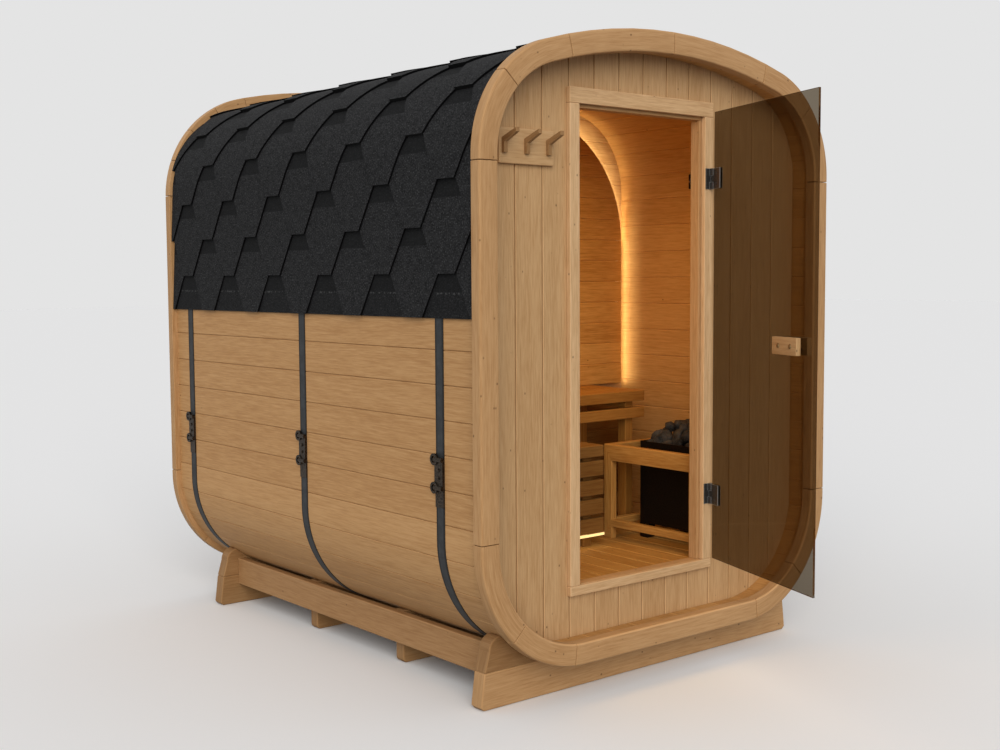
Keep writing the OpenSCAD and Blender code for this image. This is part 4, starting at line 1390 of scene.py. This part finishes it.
def add_sky():
    """An even sky, seen as a plain pale background, and one soft sun."""
    world = bpy.data.worlds.new("sky")
    world.use_nodes = True
    bpy.context.scene.world = world
    nodes = Nodes(world.node_tree)
    sky = world.node_tree.nodes["Background"]
    sky.inputs["Color"].default_value = (*SKY_LIGHT, 1.0)
    sky.inputs["Strength"].default_value = SKY_STRENGTH
    seen = nodes.node("Background", {"Color": (*BACKGROUND, 1.0), "Strength": 1.0})
    nodes.finish("World Output", nodes.seen_rays(), sky, seen)
    add_lamp("sun", "SUN", aimed(SUN_PLACE, (0, 0, 0)), SUN_POWER, SUN_LIGHT, angle=SUN_ANGLE)


def add_glow(name, middle, along, facing, length, width, radiance):
    """A long thin lamp that lies along one direction and faces another, across it."""
    back = -Vector(facing).normalized()
    side = Vector(along).normalized()
    power = radiance * math.pi * length * width
    add_lamp(name, "AREA", placed(middle, (side, back.cross(side), back)), power, STRIP_LIGHT,
             shape="RECTANGLE", size=length, size_y=width)


def add_fan(name, edge, along, out, length, strength):
    """Lamps side by side before an edge of the panel, each dimmer than the last, facing out."""
    for k in range(FAN_STEPS):
        ahead = (k + 0.5) * FAN_WIDTH
        radiance = strength * math.exp(-ahead / EDGE_FADE)
        add_glow(f"{name}_{k}", edge - Vector((0, ahead, 0)), along, out, length, FAN_WIDTH, radiance)


def edge_gap(turn):
    """Room between the panel's edge and the shell, at a turn round the panel's bend."""
    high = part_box("back_panel")[1]
    near, far = 0.0, WIDEST_GAP
    for _ in range(GAP_ROUNDS):
        gap = (near + far) / 2
        x = high.x - PANEL_R + (PANEL_R + gap) * math.cos(turn)
        z = high.z - PANEL_R + (PANEL_R + gap) * math.sin(turn)
        if x < outline.half_at(z, room_in):
            near = gap
        else:
            far = gap
    return near


def add_edge_light():
    """The glow round the back panel: a bright line along its edge, light in the gap beside its bend, and
    light before its edge that fades over the shell."""
    low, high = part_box("back_panel")
    spring = high.z - PANEL_R
    back = Vector((0, 1, 0))
    line_y = (low.y + LINE_BACK) * back
    face_y = low.y * back
    arc = math.pi / 2 / ARCH_STEPS
    for side in (-1, 1):
        out = Vector((side, 0, 0))
        along = Vector((0, 0, 1))
        middle = Vector((side * (high.x + LINE_OUT), 0, (low.z + spring) / 2))
        length = spring - low.z
        facing = out + SIDE_TURN * back
        add_glow(f"side_line_{side}", middle + line_y, along, facing, length, LINE_WIDTH, SIDE_LINE)
        add_fan(f"side_glow_{side}", middle + face_y, along, out, length, EDGE_GLOW)
        for k in range(ARCH_STEPS):
            turn = (k + 0.5) * arc
            gap = edge_gap(turn)
            out = Vector((side * math.cos(turn), 0, math.sin(turn)))
            along = Vector((-side * math.sin(turn), 0, math.cos(turn)))
            middle = Vector((side * (high.x - PANEL_R), 0, spring)) + out * (PANEL_R + LINE_OUT)
            length = PANEL_R * arc
            facing = ARCH_TURN * out + back
            add_glow(f"arch_line_{side}_{k}", middle + line_y, along, facing, length, LINE_WIDTH, ARCH_LINE)
            place = middle + GLOW_OUT * gap * out + (low.y - GLOW_AHEAD * gap) * back
            facing = GLOW_FACING[0] * out + GLOW_FACING[1] * back
            glow = ARCH_GLOW * gap
            add_glow(f"arch_glow_{side}_{k}", place, along, facing, length, LINE_WIDTH, glow)
            fade = max(LEAST_FADE, (WIDE_GAP - gap) / (WIDE_GAP - edge_gap(0.0)))
            add_fan(f"arch_fan_{side}_{k}", middle + face_y, along, out, length, EDGE_GLOW * fade)


def add_room_light():
    """Warm light in the hot room, and the glow under the lower bench."""
    low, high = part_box("floor_deck")
    middle_y = (low.y + high.y) / 2
    above = aimed((0.0, middle_y, CEILING_Z), (0.0, middle_y, 0.0))
    add_lamp("ceiling_glow", "AREA", above, CEILING_POWER, ROOM_LIGHT, shape="RECTANGLE", **CEILING_SIZE)
    beside = aimed(LEFT_PLACE, LEFT_AIM)
    add_lamp("left_glow", "AREA", beside, LEFT_POWER, ROOM_LIGHT, shape="RECTANGLE", **LEFT_SIZE)
    low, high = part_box("lower_frame")
    place = Vector(((low.x + high.x) / 2, low.y - BENCH_AHEAD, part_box("light_strips")[0].z))
    add_glow("bench_glow", place, (1, 0, 0), BENCH_FACING, high.x - low.x, LINE_WIDTH, BENCH_GLOW)


build_shell()
build_rim("front_rim", outline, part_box("front_rim")[0].y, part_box("front_rim")[1].y, FRONT_BENDS)
build_rim("rear_rim", rear_outline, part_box("rear_rim")[1].y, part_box("rear_rim")[0].y, REAR_BENDS)
build_walls()
build_panel()
build_deck()
Roof().build()
build_straps()
build_tensioners()
build_timber()
build_stones()
build_door()
build_gauge()
build_lights()
add_camera()
add_floor()
add_sky()
add_edge_light()
add_room_light()
bpy.context.scene.view_settings.view_transform = "Standard"
